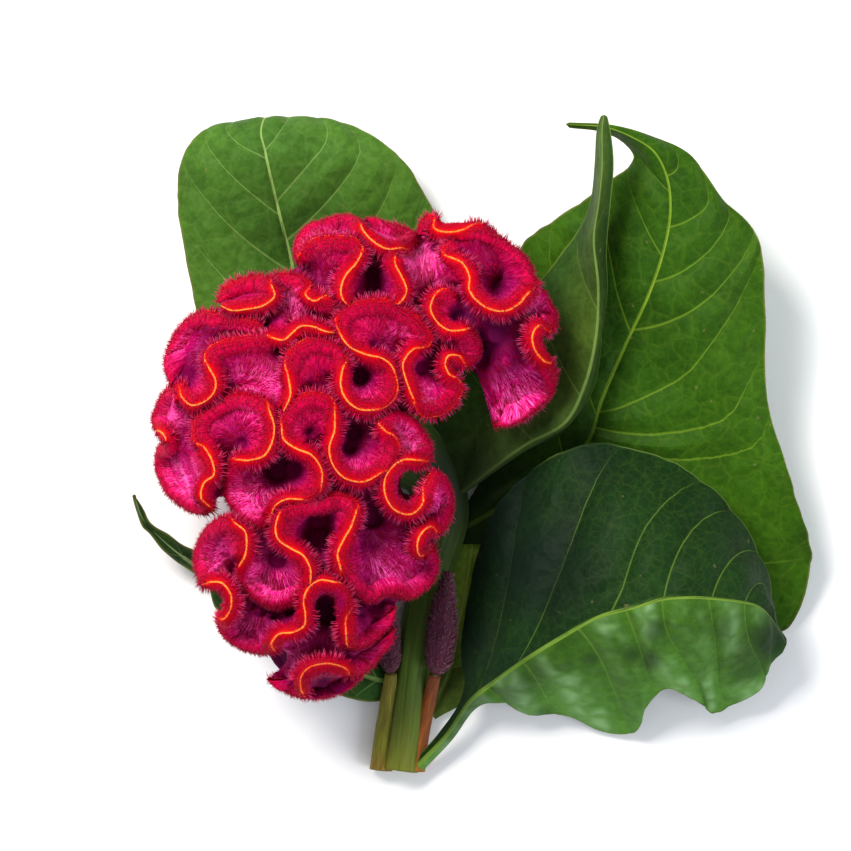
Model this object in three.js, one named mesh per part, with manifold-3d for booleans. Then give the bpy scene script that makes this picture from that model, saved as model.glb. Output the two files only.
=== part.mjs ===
import * as THREE from "three";
import { mergeVertices } from "three/addons/utils/BufferGeometryUtils.js";
import Module from "manifold-3d";

// Cockscomb celosia: a cut flower stem with its folded comb, seven leaves and two side spikes,
// lying on a table.  Millimetres, +Z up, the table is z = 0, and +Y runs from the cut end of the
// stem towards the comb.

const kernel = await Module();
kernel.setup();

// ---- Driving dimensions -------------------------------------------------------------------

const MAIN_DOME = { centre: [-50, 1], radii: [52, 82], edge: 38, rise: 34 };
const LOBE_DOME = { centre: [5, 37], radii: [25, 36], edge: 40, rise: 20 };
const MAIN_SPINE = {
  paths: [[[-55, 42], [-45, 5], [-50, -38], [-47, -66]], [[-45, 5], [-27, -22]]],
  floor: 14,
};
const LOBE_SPINE = { paths: [[[4, 52], [5, 32], [0, 22]]], floor: 28 };

const FRINGE_PITCH = 4.1; // length of crest that carries one tuft of fringe
const CREST_DROOP = 10; // how far a lip that has turned right outward hangs below the dome
const FOLD_DEPTH = 36; // from the crest down to the root of its fold
const WAVE_SMOOTHING = 12; // length of crest over which the waves even out towards the root
const ROOT_SMOOTHING = 6; // and over which neighbouring roots keep together
const ROOT_REACH = 0.62; // share of the way out from the spine at which the folds are rooted
const FOLD_PROFILE = [[0, 2.2], [0.42, 1.7], [0.78, 1.8], [0.93, 2.8]]; // [share up, half width]
const TUFT_OUT = 0.5; // a tuft of fringe stands this much prouder than the lip
const CREST_CROWN = 0.03; // share by which the ridge line overtops the lips

const LEAF_THICKNESS = 0.9;
const RIB_THICKNESS = 2.6; // of a leaf at its midrib, next to the stem
const RIB_HALF_WIDTH = 1.7;
const VEIN_RELIEF = 0.5;
const FIT_GAP = 0.4; // clearance round the stem where another piece meets it
const FLATNESS = 0.08; // faces that lie within this of one plane are one face
const WELD = 0.004; // corners closer than this are one corner
const SKIN_GAP = 0.03; // a skin that touches another along a crease is drawn back by this

// ---- Control points -----------------------------------------------------------------------

// The folds gather on the spines, and none is rooted lower than the floor of its spine.

// Each crest is a row of [x, y, flare].  Flare 0 looks up, flare 1 has turned right outward.
const LONG_CREST = [
  [-42, 33.5, 0.3], [-46, 34], [-50, 35.5], [-53.5, 35.5], [-56, 33.5], [-58.5, 31.5], [-62, 32],
  [-65.5, 31.5, 0.1], [-71, 30.5, 0.3], [-77, 29.5, 0.3], [-81, 27.5, 0.2], [-81.5, 23],
  [-79.5, 19], [-80, 15.5], [-83, 12.5], [-87, 11.5], [-90, 14, 0.1], [-93, 16.5, 0.5],
  [-96, 15, 1], [-98.5, 10.5, 1], [-99.5, 6, 0.8], [-97, 3.5, 0.2], [-95, 1], [-95, -1, 0.2],
  [-97.5, -2, 0.7], [-98.5, -6, 1], [-97.5, -11, 1], [-95, -15.5, 1], [-91, -19, 1],
  [-86.5, -21.5, 1], [-83, -21, 0.6], [-84, -17], [-83, -12.5], [-80, -10], [-80.5, -6],
  [-83, -1.5], [-85, 2], [-84.5, 6.5, 0.2], [-81, 10, 0.3], [-76.5, 13, 0.4], [-71, 14, 0.4],
  [-66.5, 12.5, 0.3], [-63, 9.5], [-61.5, 5], [-62, 0.5], [-64.5, -4], [-69, -5.5],
  [-72.5, -5.5, 0.2], [-75.5, -7.5, 0.5], [-77, -11, 0.9], [-77, -15.5, 1], [-74.5, -20.5, 1],
  [-70, -24.5, 1], [-65.5, -26, 0.8], [-62.5, -23, 0.4], [-61, -19.5], [-57.5, -17.5],
  [-53.5, -17.5], [-49.5, -16], [-47, -12.5], [-47, -8.5], [-50, -4], [-54.5, -2], [-58.5, 1],
  [-59, 4.5], [-57.5, 8], [-54.5, 12], [-50, 13.5], [-45.5, 12.5], [-43, 9], [-43, 3.5],
  [-44.5, -2], [-43, -7.5], [-39.5, -11], [-34, -12], [-29, -9.5], [-25.5, -5.5], [-25, -0.5],
  [-27.5, 3.5], [-27.5, 7.5, 0.2], [-25, 9.5, 0.5], [-19, 7, 0.7], [-15, 2, 0.8], [-13.5, -3, 0.6],
  [-17, -5.5, 0.1], [-22, -5.5], [-25.5, -8], [-27.5, -12], [-27, -17], [-24, -21], [-19.5, -22],
  [-16, -19], [-13.5, -14.5], [-11, -10, 0.2], [-8.5, -12, 0.7], [-7, -17, 0.9], [-7, -21.5, 0.8],
  [-9.5, -26, 0.4], [-13.5, -26, 0.1], [-16.5, -28.5], [-17.5, -32], [-16.5, -35, 0.2],
  [-13, -34, 0.6], [-11.5, -37, 0.9], [-12.5, -42, 1], [-16, -46, 1], [-20.5, -48, 0.9],
  [-24, -46.5, 0.8], [-28, -47, 0.8], [-32, -49, 0.8], [-36, -47, 0.7], [-39, -43, 0.3],
  [-41, -39], [-42, -34.5], [-40.5, -30.5], [-38, -26], [-36.5, -21.5], [-38, -18.5, 0.2],
  [-42, -17, 0.3], [-47, -18, 0.2], [-52.5, -19.5], [-56.5, -20.5], [-60, -22.5], [-61, -26.5],
  [-60, -30], [-56.5, -32.5], [-52.5, -35], [-50.5, -39], [-50.5, -43], [-52.5, -47, 0.3],
  [-56, -49.5, 0.7], [-61, -51, 0.9], [-65.5, -49.5, 1], [-70, -46, 1], [-72.5, -42, 0.9],
  [-72, -38, 0.5], [-70.5, -35], [-70, -31.5], [-70.5, -27.5], [-73.5, -25], [-77, -24, 0.2],
  [-81, -25.5, 0.6], [-84, -29, 0.9], [-86, -34, 1], [-86, -38.5, 0.8], [-84.5, -41.5, 0.3],
  [-81, -43], [-77.5, -43.5], [-75, -47], [-75, -51], [-77, -54.5], [-79, -56.5, 0.4],
  [-77.5, -60, 0.9], [-73, -63.5, 1], [-68, -65, 1], [-64, -65, 0.8], [-62.5, -62, 0.2],
  [-60, -59], [-56, -58.5], [-52.5, -56.5], [-52, -53], [-52.5, -49], [-51, -45], [-47.5, -42.5],
  [-43.5, -43], [-40, -45.5], [-39, -49.5], [-39.5, -54], [-39.5, -58.5], [-39, -62.5, 0.3],
  [-34.5, -63, 0.8], [-30, -60.5, 1], [-26.5, -56, 1], [-24.5, -51, 0.8],
];
const MIDDLE_CREST = [
  [-58.5, 9.5], [-56.5, 14.5], [-57, 20], [-56, 26], [-53, 29], [-49.5, 30.5], [-45, 30],
  [-41, 27.5], [-40.5, 22.5], [-41, 17.5], [-39.5, 13.5], [-36, 10.5], [-31.5, 10], [-27, 12],
  [-24.5, 16.5], [-25, 22.5], [-28, 25.5], [-33.5, 27], [-38.5, 29.5], [-41, 33], [-40.5, 38.5],
  [-37, 41], [-32, 42], [-27, 42], [-21.5, 39.5], [-17, 35.5], [-15, 32], [-19, 28.5], [-22, 24],
  [-21, 19], [-19, 14], [-15, 10], [-10.5, 10.5], [-7, 14], [-5.5, 17], [-8, 21], [-9, 24],
  [-8, 26.5], [-5, 26.5, 0.3], [-1.5, 25.5, 0.7], [1, 26.5, 0.9], [1.5, 30, 0.8], [-0.5, 33, 0.4],
  [-3.5, 34.5], [-8, 34.5], [-11.5, 37], [-13.5, 41], [-12.5, 44.5], [-9.5, 45.5],
  [-5.5, 45.5, 0.3],
];
const LEFT_REAR_CREST = [
  [-93.5, 17.5, 0.3], [-95, 21.5, 0.8], [-95.5, 26, 1], [-93.5, 31.5, 1], [-90, 36.5, 1],
  [-85.5, 39, 0.9], [-80.5, 38.5, 0.5], [-75, 37.5, 0.3], [-69.5, 36.5, 0.2], [-65, 34.5, 0.3],
];
const CUP_CREST = [
  [-78, 42], [-74.5, 40.5], [-69.5, 41], [-65, 42], [-61.5, 45], [-62.5, 48], [-65, 50, 0.3],
  [-69.5, 49.5, 0.4], [-74, 48, 0.5], [-77.5, 45.5, 0.5], [-79, 43, 0.4],
];
const NOOK_CREST = [
  [-63, 50, 0.4], [-59.5, 51, 0.5], [-55, 50.5, 0.5], [-52.5, 48.5, 0.2], [-52, 45.5],
  [-49.5, 43.5], [-45.5, 43, 0.1], [-42, 42, 0.3],
];
const REAR_CREST = [
  [-38, 41.5, 0.2], [-40.5, 44], [-41, 47.5], [-39.5, 51.5], [-36.5, 55], [-35, 58], [-37, 61],
  [-41.5, 61.5], [-46.5, 61.5], [-51, 59.5, 0.1], [-54, 57.5, 0.3], [-55, 60, 0.6],
  [-54, 63.5, 0.9], [-51, 67, 1], [-46, 68.5, 1], [-40.5, 70, 1], [-36.5, 69, 0.6], [-35, 66.5],
  [-33, 63.5], [-30, 61], [-26.5, 59.5], [-23, 60], [-20, 62, 0.3], [-18.5, 64.5, 0.7],
  [-22.5, 66.5, 1], [-26.5, 67.5, 1], [-31, 69, 1], [-33.5, 69, 0.9],
];
const HOLLOW_CREST = [
  [-25.5, 41.5, 0.1], [-22.5, 43.5], [-21, 47], [-22.5, 51], [-24.5, 55], [-25.5, 58.5],
  [-23.5, 60.5, 0.2],
];
const LOBE_CREST = [
  [-17.5, 64, 0.6], [-16.5, 67.5, 0.6], [-14, 68.5, 0.3], [-12.5, 66.5], [-8.5, 65], [-3.5, 65.5],
  [2, 65.5, 0.1], [6.5, 63.5, 0.5], [11, 61, 0.7], [15, 57.5, 0.7], [17.5, 54, 0.6], [18, 50, 0.1],
  [16.5, 46], [13.5, 42.5], [9.5, 40.5], [5, 41], [1, 43.5], [-1.5, 47], [-1.5, 51], [-3.5, 55],
  [-7, 57], [-8, 59.5], [-7, 62.5, 0.2],
];
const LOBE_EDGE_CREST = [
  [17.5, 49, 0.3], [20.5, 47.5, 0.8], [23, 43.5, 1], [25.5, 39, 1], [23, 36.5, 0.3], [20, 36],
  [18, 33], [18.5, 29], [21.5, 25, 0.1], [24, 21.5, 0.5], [25, 17.5, 0.9], [23, 13.5, 1],
  [19, 10, 1], [15, 7, 1], [10, 5.5, 1], [6, 5.5, 0.9],
];
const FOOT_CREST = [
  [-64, -73.5, 0.8], [-59, -77, 1], [-55, -78.5, 0.7], [-53.5, -76.5, 0.1], [-53.5, -73],
  [-51.5, -70], [-47.5, -68.5], [-43.5, -68.5], [-39.5, -70, 0.1], [-36, -71.5, 0.5],
  [-32.5, -70, 0.9], [-29, -65.5, 1], [-25.5, -61.5, 0.9], [-25, -57.5, 0.9],
];
const FOOT_UNDER_CREST = [
  [-54, -79, 0.9], [-49, -79.5, 1], [-43.5, -78.5, 1], [-39, -75.5, 1], [-34.5, -72.5, 0.9],
];

const UPPER_LEFT_LEAF = [
  [[-30, -0.5, 13.5], [-28.5, 0, 15], [-27, 0.5, 13.5]],
  [[-34, 11, 9], [-32.5, 12, 10.5], [-30.5, 13, 9]],
  [[-61, 23, 4], [-42, 25, 6.5], [-26, 27, 4]],
  [[-83, 33.5, 5], [-53, 41.5, 7], [-14.5, 39, 5]],
  [[-89.5, 56, 8], [-58, 60.5, 9], [-10.5, 67, 9]],
  [[-92.5, 75, 11], [-62, 76.5, 14], [-16, 78.5, 12]],
  [[-91, 89, 12], [-65, 90, 18], [-24, 89.5, 14]],
  [[-84, 97.5, 10], [-66.5, 96.5, 15], [-39, 99, 12]],
  [[-74, 100, 6], [-65.5, 101, 10], [-52.5, 101.5, 8]],
  [[-65.5, 100.5, 0.5], [-63.5, 101, 1.5], [-61.5, 100.5, 0.5]],
];
const UPPER_RIGHT_LEAF = [
  [[-8.5, -26.5, 4], [-7, -29, 6], [-5.5, -32, 4]],
  [[-1, -18, 5], [2.5, -24, 8], [5, -32, 5]],
  [[5, -6, 6], [16, -15, 9], [26.5, -32, 5]],
  [[8.5, 10, 6], [28, -8, 10], [67, -55, 1]],
  [[12, 28.5, 6], [36, 0.5, 12], [97.5, -59, 3]],
  [[13.5, 47, 7], [40, 13, 15], [105.5, -37, 12]],
  [[14.5, 60, 11], [47.5, 30.5, 19], [100, -15.5, 20]],
  [[26.5, 70, 19], [54.5, 46, 28], [91.5, 13, 26]],
  [[36.5, 76.5, 24], [59, 59.5, 33], [90.5, 41, 30]],
  [[42, 81, 28], [61, 72, 36], [88, 64, 32]],
  [[47.5, 84.5, 30], [60, 82, 38], [77, 75.5, 34]],
  [[50, 88.5, 32], [56, 90, 40], [67, 89, 36]],
  [[46, 93.5, 34], [49, 94.5, 41], [54.5, 95, 38]],
  [[39, 96.5, 38], [41, 97.5, 42], [43.5, 98, 41]],
  [[29.5, 97.5, 41], [28.5, 98.5, 42], [29.5, 99, 42]],
];
const LOWER_RIGHT_LEAF = [
  [[-18.5, -100, 6], [-17.5, -101.5, 8], [-16, -103, 6]],
  [[-10.5, -91, 9], [-8.5, -92, 12], [-7, -93.5, 9]],
  [[-3.5, -79.5, 13], [-1, -81, 17], [1, -83, 13]],
  [[-3, -64.5, 12], [5.5, -75.5, 23], [8, -81, 16]],
  [[0, -44.5, 12], [15, -68.5, 31], [17.5, -84.5, 10]],
  [[5, -26.5, 14], [26.5, -61, 39], [30.5, -85.5, 6]],
  [[12.5, -14.5, 18], [39, -54, 45], [41, -90, 3]],
  [[23.5, -6, 22], [50, -51, 49], [50, -91, 4]],
  [[36.5, -1, 26], [58.5, -48.5, 51], [53.5, -82.5, 15]],
  [[51.5, -3, 28], [67, -48, 51], [61, -76.5, 23]],
  [[67.5, -10, 28], [75, -48.5, 48], [70, -80.5, 16]],
  [[81, -23, 26], [82.5, -49.5, 44], [75.5, -84, 8]],
  [[90, -39, 24], [88, -51, 38], [89.5, -76.5, 11]],
  [[94, -56, 22], [92.5, -55, 30], [92.5, -69.5, 17]],
  [[97.5, -61.5, 20], [97.5, -63, 20], [96.5, -65.5, 19]],
];
const FOLDED_LEAF = [
  [[-8.5, -16, 9], [-7, -18, 11], [-7, -20, 8]],
  [[-11, -5, 12], [2.5, -11, 19], [1, -13, 11]],
  [[-13.5, 7, 13], [16, -1, 25], [15, -3, 13]],
  [[-7.5, 22, 12], [28.5, 6, 30], [28.5, 4.5, 17]],
  [[8, 34.5, 12], [34.5, 17.5, 34], [36.5, 16, 21]],
  [[17, 45.5, 15], [38, 33, 38], [39.5, 32, 26]],
  [[26.5, 57, 22], [38.5, 48.5, 42], [41, 47.5, 31]],
  [[34, 68, 31], [37, 62.5, 46], [41, 61, 37]],
  [[36.5, 75.5, 38], [38.5, 74, 49], [42, 73, 43]],
  [[37.5, 86, 44], [39.5, 85, 52], [43, 86, 48]],
  [[38, 96, 49], [39.5, 96.5, 54], [42, 96, 51]],
  [[39, 100.5, 53], [40, 101, 54], [41, 100.5, 53]],
];
const LEFT_LEAF = [
  [[-20.5, -60, 4], [-20, -62, 6], [-20, -64, 4]],
  [[-38.5, -54.5, 4], [-38.5, -58, 6], [-39, -61.5, 4]],
  [[-54, -46.5, 3], [-57, -52, 6], [-61.5, -60, 3]],
  [[-70.5, -38.5, 4], [-74, -45.5, 7], [-80, -53, 4]],
  [[-82.5, -35.5, 6], [-83.5, -41, 9], [-83.5, -44.5, 7]],
  [[-91, -32.5, 9], [-91, -36, 11], [-93.5, -37, 10]],
  [[-95.5, -29, 12], [-96.5, -31.5, 13], [-97.5, -33.5, 12]],
  [[-99.5, -26.5, 15], [-100.5, -27.5, 15], [-101.5, -28.5, 15]],
  [[-101.5, -24.5, 17], [-102.5, -25.5, 17], [-103.5, -26.5, 17]],
  [[-103, -21.5, 18], [-104, -22.5, 19], [-105, -22, 18]],
  [[-105.5, -17, 21], [-106, -16.5, 21], [-106.5, -17, 21]],
];
const SMALL_LEAF = [
  [[-23, -73, 4], [-22.5, -75, 6], [-22.5, -77, 4]],
  [[-27.5, -68, 4], [-28, -75, 7], [-29, -81, 4]],
  [[-34.5, -64.5, 5], [-36.5, -72.5, 9], [-38, -80.5, 6]],
  [[-44.5, -61, 6], [-46, -68, 10], [-47, -76.5, 7]],
  [[-54, -59.5, 6], [-55, -65, 9], [-54.5, -71.5, 7]],
  [[-59.5, -61.5, 4], [-60, -63, 5], [-59, -65.5, 4]],
];
const BACK_LEAF = [
  [[-15, -83, 2.6], [-13.5, -85, 3.6], [-12, -87, 2.6]],
  [[-14, -70, 2.6], [-8, -73.5, 4.2], [0, -79, 2.6]],
  [[-12, -58, 2.6], [-5.5, -61, 5], [3.5, -65, 2.8]],
  [[-10, -45, 2.4], [-2.5, -48, 4.6], [6, -51, 2.8]],
  [[-8, -35, 2], [-1, -37, 3.2], [7, -40, 2.4]],
  [[-5.5, -27, 1.6], [0.5, -28, 2.2], [7, -31, 1.8]],
  [[-1, -21.5, 1.4], [2.5, -21.5, 1.6], [6, -23, 1.4]],
];

// The stem and its two stalks: [x, y, z, half width, half height] along the middle.
const STEM_PATH = [
  [-23, -103, 5.1, 5.6, 5.2], [-21.5, -93, 5.4, 5.3, 5.2], [-19, -74, 6, 5, 4.8],
  [-15, -55, 7, 4.9, 4.6], [-10.5, -36.5, 8, 5.2, 4.6], [-9, -22.5, 9.5, 6.5, 4.6],
  [-14, -9.5, 12.5, 9, 4.6], [-24, -1, 16, 12, 4.6], [-36, 3.5, 19, 12, 4.2],
];
const LEFT_STALK_PATH = [
  [-29, -103, 3.9, 3.6, 3.8], [-28, -93, 4.4, 3.2, 3.2], [-26.5, -80, 6.5, 2.6, 2.6],
  [-25.8, -72.5, 9, 1.9, 1.9],
];
const RIGHT_STALK_PATH = [
  [-18.5, -103, 4, 3.4, 3.8], [-17, -93, 5, 3, 3], [-14, -81, 8, 2.3, 2.3],
  [-12, -73, 12.5, 1.8, 1.8],
];
const LEFT_SPIKE_PATH = [
  [-25.9, -72, 9.4, 1.5, 1.5], [-26.2, -68.5, 10.5, 3, 3], [-26.7, -60, 12.5, 3.3, 3.3],
  [-27.2, -53, 14, 2.4, 2.4], [-27.4, -47.5, 15, 0.9, 0.9],
];
const RIGHT_SPIKE_PATH = [
  [-11.9, -72.4, 12.8, 1.6, 1.6], [-11.2, -69, 13.6, 4, 4], [-10.2, -60, 16, 4.7, 4.7],
  [-9, -49, 18.5, 3.2, 3.2], [-8, -40.5, 20, 0.9, 0.9],
];
const STEM_FACETS = 16;
const STEM_FLUTE = 0.06; // depth of the flutes, as a share of the radius
const SPIKE_FACETS = 10;
const SPIKE_FLORET = 0.2; // relief of the florets, as a share of the radius

// The dense pleated middle that the folds stand out of: the first swelling bears on the table.
const HEART = [
  { centre: [-53, -14, 16], radii: [27, 35, 18], pleats: 15 },
  { centre: [-48, 6, 31], radii: [31, 46, 13], pleats: 15 },
  { centre: [-51, -52, 24], radii: [19, 26, 10], pleats: 9 },
  { centre: [-28, -30, 25], radii: [17, 17, 9], pleats: 9 },
  { centre: [-38, 50, 28], radii: [17, 15, 11], pleats: 8 },
  { centre: [6, 40, 33], radii: [15, 23, 7], pleats: 9 },
  { centre: [-14, 36, 33], radii: [20, 12, 8], pleats: 8 },
];
const HEART_RINGS = 6;
const PLEAT_DEPTH = 0.1; // as a share of the radius

// ---- Solids and booleans ------------------------------------------------------------------

function solidOf(positions, triangles) {
  const mesh = new kernel.Mesh({
    numProp: 3,
    vertProperties: new Float32Array(positions),
    triVerts: new Uint32Array(triangles),
  });
  return new kernel.Manifold(mesh);
}

function solidFromGeometry(geometry, matrix) {
  const placed = geometry.clone().applyMatrix4(matrix);
  placed.deleteAttribute("normal");
  placed.deleteAttribute("uv");
  const welded = mergeVertices(placed, WELD);
  return solidOf(welded.attributes.position.array, welded.index.array);
}

function geometryOf(solid) {
  const mesh = solid.getMesh();
  const geometry = new THREE.BufferGeometry();
  geometry.setAttribute("position", new THREE.BufferAttribute(mesh.vertProperties, 3));
  geometry.setIndex(new THREE.BufferAttribute(mesh.triVerts, 1));
  geometry.computeVertexNormals();
  return geometry;
}

function largestBody(solid) {
  const bodies = solid.decompose();
  return bodies.reduce((best, body) => (body.volume() > best.volume() ? body : best));
}

// The one real body of a solid, without the crumbs that a union can leave along a crease.
function mainBody(solid) {
  const whole = geometryOf(largestBody(solid));
  return largestBody(solidFromGeometry(whole, new THREE.Matrix4()));
}

// Where two skins touch along a crease, the corners of each are drawn back over their own skin.
function partedSkins(solid) {
  const { vertProperties, triVerts } = solid.getMesh();
  const cornerAt = (i) => new THREE.Vector3().fromArray(vertProperties, 3 * i);
  const places = new Map();
  const neighbours = [];
  for (let i = 0; 3 * i < vertProperties.length; i++) {
    const place = cornerAt(i).divideScalar(WELD).round().toArray().join();
    places.set(place, [...(places.get(place) ?? []), i]);
    neighbours.push([]);
  }
  triVerts.forEach((corner, i) => {
    const next = i % 3 === 2 ? i - 2 : i + 1;
    neighbours[corner].push(cornerAt(triVerts[next]));
  });
  const shared = [...places.values()].filter((corners) => corners.length > 1).flat();
  const positions = new Float32Array(vertProperties);
  for (const corner of shared) {
    const middle = new THREE.Vector3();
    neighbours[corner].forEach((point) => middle.addScaledVector(point, 1 / neighbours[corner].length));
    const from = cornerAt(corner);
    const back = middle.sub(from).setLength(SKIN_GAP);
    from.add(back).toArray(positions, 3 * corner);
  }
  return solidOf(positions, triVerts);
}

const BELOW_TABLE = solidFromGeometry(
  new THREE.BoxGeometry(400, 400, 40),
  new THREE.Matrix4().makeTranslation(0, 0, -20),
);

function piece(name, solid, colour, roughness) {
  const material = new THREE.MeshStandardMaterial({ color: colour, roughness });
  const mesh = new THREE.Mesh(geometryOf(mainBody(solid.subtract(BELOW_TABLE))), material);
  mesh.name = name;
  return mesh;
}

// ---- The comb -----------------------------------------------------------------------------

function domeRise(dome, x, y) {
  const inside = 1 - ((x - dome.centre[0]) / dome.radii[0]) ** 2
    - ((y - dome.centre[1]) / dome.radii[1]) ** 2;
  return dome.edge + dome.rise * Math.sqrt(Math.max(0, inside));
}

function combHeight(x, y) {
  return Math.max(domeRise(MAIN_DOME, x, y), domeRise(LOBE_DOME, x, y));
}

// Even steps along a row of [x, y, flare] control points.
function walkCrest(controls) {
  const points = controls.map(([x, y, flare = 0]) => new THREE.Vector3(x, y, flare));
  const curve = new THREE.CatmullRomCurve3(points, false, "centripetal");
  curve.arcLengthDivisions = controls.length * 12;
  return curve.getSpacedPoints(Math.round(curve.getLength() / FRINGE_PITCH));
}

function nearestOnSpine(spine, point) {
  let best = point;
  let bestDistance = Infinity;
  for (const path of spine.paths) {
    for (let i = 0; i + 1 < path.length; i++) {
      const from = new THREE.Vector2(...path[i]);
      const along = new THREE.Vector2(...path[i + 1]).sub(from);
      const share = point.clone().sub(from).dot(along) / along.lengthSq();
      const foot = from.addScaledVector(along, THREE.MathUtils.clamp(share, 0, 1));
      if (foot.distanceTo(point) < bestDistance) {
        bestDistance = foot.distanceTo(point);
        best = foot;
      }
    }
  }
  return best;
}

// A row of points with its waves evened out over a length of the crest.
function smoothed(row, length) {
  return row.map((_, i) => {
    const sum = new THREE.Vector2();
    let weights = 0;
    row.forEach((point, j) => {
      const weight = Math.exp(-0.5 * (((i - j) * FRINGE_PITCH) / length) ** 2);
      sum.addScaledVector(point, weight);
      weights += weight;
    });
    return sum.divideScalar(weights);
  });
}

// The middle surface of a fold: at each step of the crest, a curve from its root up to its lip.
function foldRibs(controls, spine) {
  const crest = walkCrest(controls);
  const flat = crest.map(({ x, y }) => new THREE.Vector2(x, y));
  const middles = smoothed(flat, WAVE_SMOOTHING);
  const gathered = middles.map((m) => nearestOnSpine(spine, m).lerp(m, ROOT_REACH));
  const feet = smoothed(gathered, ROOT_SMOOTHING);
  return crest.map(({ x, y, z }, i) => {
    const flare = Math.max(0, z);
    const middle = middles[i];
    const foot = feet[i];
    const footHeight = Math.max(spine.floor, combHeight(middle.x, middle.y) - FOLD_DEPTH);
    const root = new THREE.Vector3(foot.x, foot.y, footHeight);
    const lip = new THREE.Vector3(x, y, combHeight(x, y) - CREST_DROOP * flare);
    const outward = flat[i].clone().sub(middle).addScaledVector(flat[i].clone().sub(foot), 0.5);
    outward.divideScalar(Math.max(6, outward.length()));
    const lean = 0.25 + 0.9 * flare;
    const facing = new THREE.Vector3(lean * outward.x, lean * outward.y, 1 - 1.05 * flare);
    facing.normalize();
    const reach = root.distanceTo(lip);
    return new THREE.CubicBezierCurve3(
      root,
      root.clone().add(new THREE.Vector3(0, 0, 0.4 * reach)),
      lip.clone().addScaledVector(facing, -0.42 * reach),
      lip,
    );
  });
}

// The outline of the fold across one rib: up one side, over the ridge line, down the other.
function foldOutline(ribs, i) {
  const before = ribs[Math.max(0, i - 1)];
  const after = ribs[Math.min(ribs.length - 1, i + 1)];
  const near = [];
  const far = [];
  FOLD_PROFILE.forEach(([share, halfWidth], row) => {
    const along = after.getPoint(share).sub(before.getPoint(share));
    const across = along.cross(ribs[i].getTangent(share)).normalize();
    const isLip = row === FOLD_PROFILE.length - 1;
    const tuft = isLip ? (i % 2 === 0 ? TUFT_OUT : -TUFT_OUT) : 0;
    const middle = ribs[i].getPoint(share);
    near.push(middle.clone().addScaledVector(across, halfWidth + tuft));
    far.unshift(middle.clone().addScaledVector(across, -halfWidth - tuft));
  });
  const { v2, v3 } = ribs[i];
  const ridge = v3.clone().addScaledVector(v3.clone().sub(v2), CREST_CROWN);
  return [...near, ridge, ...far];
}

// One closed slice of the fold, between two neighbouring outlines.
function foldSlice(from, to) {
  const size = from.length;
  const triangles = [];
  for (let k = 0; k < size; k++) {
    const next = (k + 1) % size;
    triangles.push(k, size + k, next, next, size + k, size + next);
  }
  for (let low = 0, high = size - 1; high - low > 1; ) {
    triangles.push(low, low + 1, high, size + low, size + high, size + low + 1);
    low += 1;
    if (high - low > 1) {
      triangles.push(low, high - 1, high, size + low, size + high, size + high - 1);
      high -= 1;
    }
  }
  return solidOf([...from, ...to].flatMap((point) => point.toArray()), triangles);
}

function foldSlices(controls, spine) {
  const ribs = foldRibs(controls, spine);
  const outlines = ribs.map((_, i) => foldOutline(ribs, i));
  return outlines.slice(1).map((outline, i) => foldSlice(outlines[i], outline));
}

// A flattened ball whose sides are drawn into pleats that run from top to bottom.
function heartSwelling({ centre, radii, pleats }) {
  const ball = new THREE.SphereGeometry(1, 2 * pleats, HEART_RINGS);
  const { position } = ball.attributes;
  for (let i = 0; i < position.count; i++) {
    const column = i % (2 * pleats + 1);
    const scale = column % 2 === 0 ? 1 : 1 - PLEAT_DEPTH;
    position.setX(i, position.getX(i) * scale);
    position.setZ(i, position.getZ(i) * scale);
  }
  const matrix = new THREE.Matrix4()
    .makeTranslation(...centre)
    .scale(new THREE.Vector3(...radii))
    .multiply(new THREE.Matrix4().makeRotationX(Math.PI / 2));
  return solidFromGeometry(ball, matrix);
}

// ---- Leaves, stem and spikes --------------------------------------------------------------

// A closed skin over a grid of points that has two faces, joined round all four edges.
function solidFromFaces(upper, lower) {
  const rows = upper.length;
  const columns = upper[0].length;
  const under = rows * columns;
  const at = (row, column) => row * columns + column;
  const triangles = [];
  const quad = (a, b, c, d) => triangles.push(a, b, c, a, c, d);
  for (let row = 0; row + 1 < rows; row++) {
    for (let column = 0; column + 1 < columns; column++) {
      const a = at(row, column);
      const b = at(row, column + 1);
      const c = at(row + 1, column + 1);
      const d = at(row + 1, column);
      triangles.push(a, b, c, a, c, d);
      triangles.push(under + a, under + c, under + b, under + a, under + d, under + c);
    }
  }
  for (let row = 0; row + 1 < rows; row++) {
    const last = columns - 1;
    quad(at(row, 0), at(row + 1, 0), under + at(row + 1, 0), under + at(row, 0));
    quad(at(row + 1, last), at(row, last), under + at(row, last), under + at(row + 1, last));
  }
  for (let column = 0; column + 1 < columns; column++) {
    const last = rows - 1;
    quad(at(0, column + 1), at(0, column), under + at(0, column), under + at(0, column + 1));
    quad(at(last, column), at(last, column + 1), under + at(last, column + 1),
      under + at(last, column));
  }
  return solidOf([...upper, ...lower].flat().flatMap((point) => point.toArray()), triangles);
}

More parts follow.
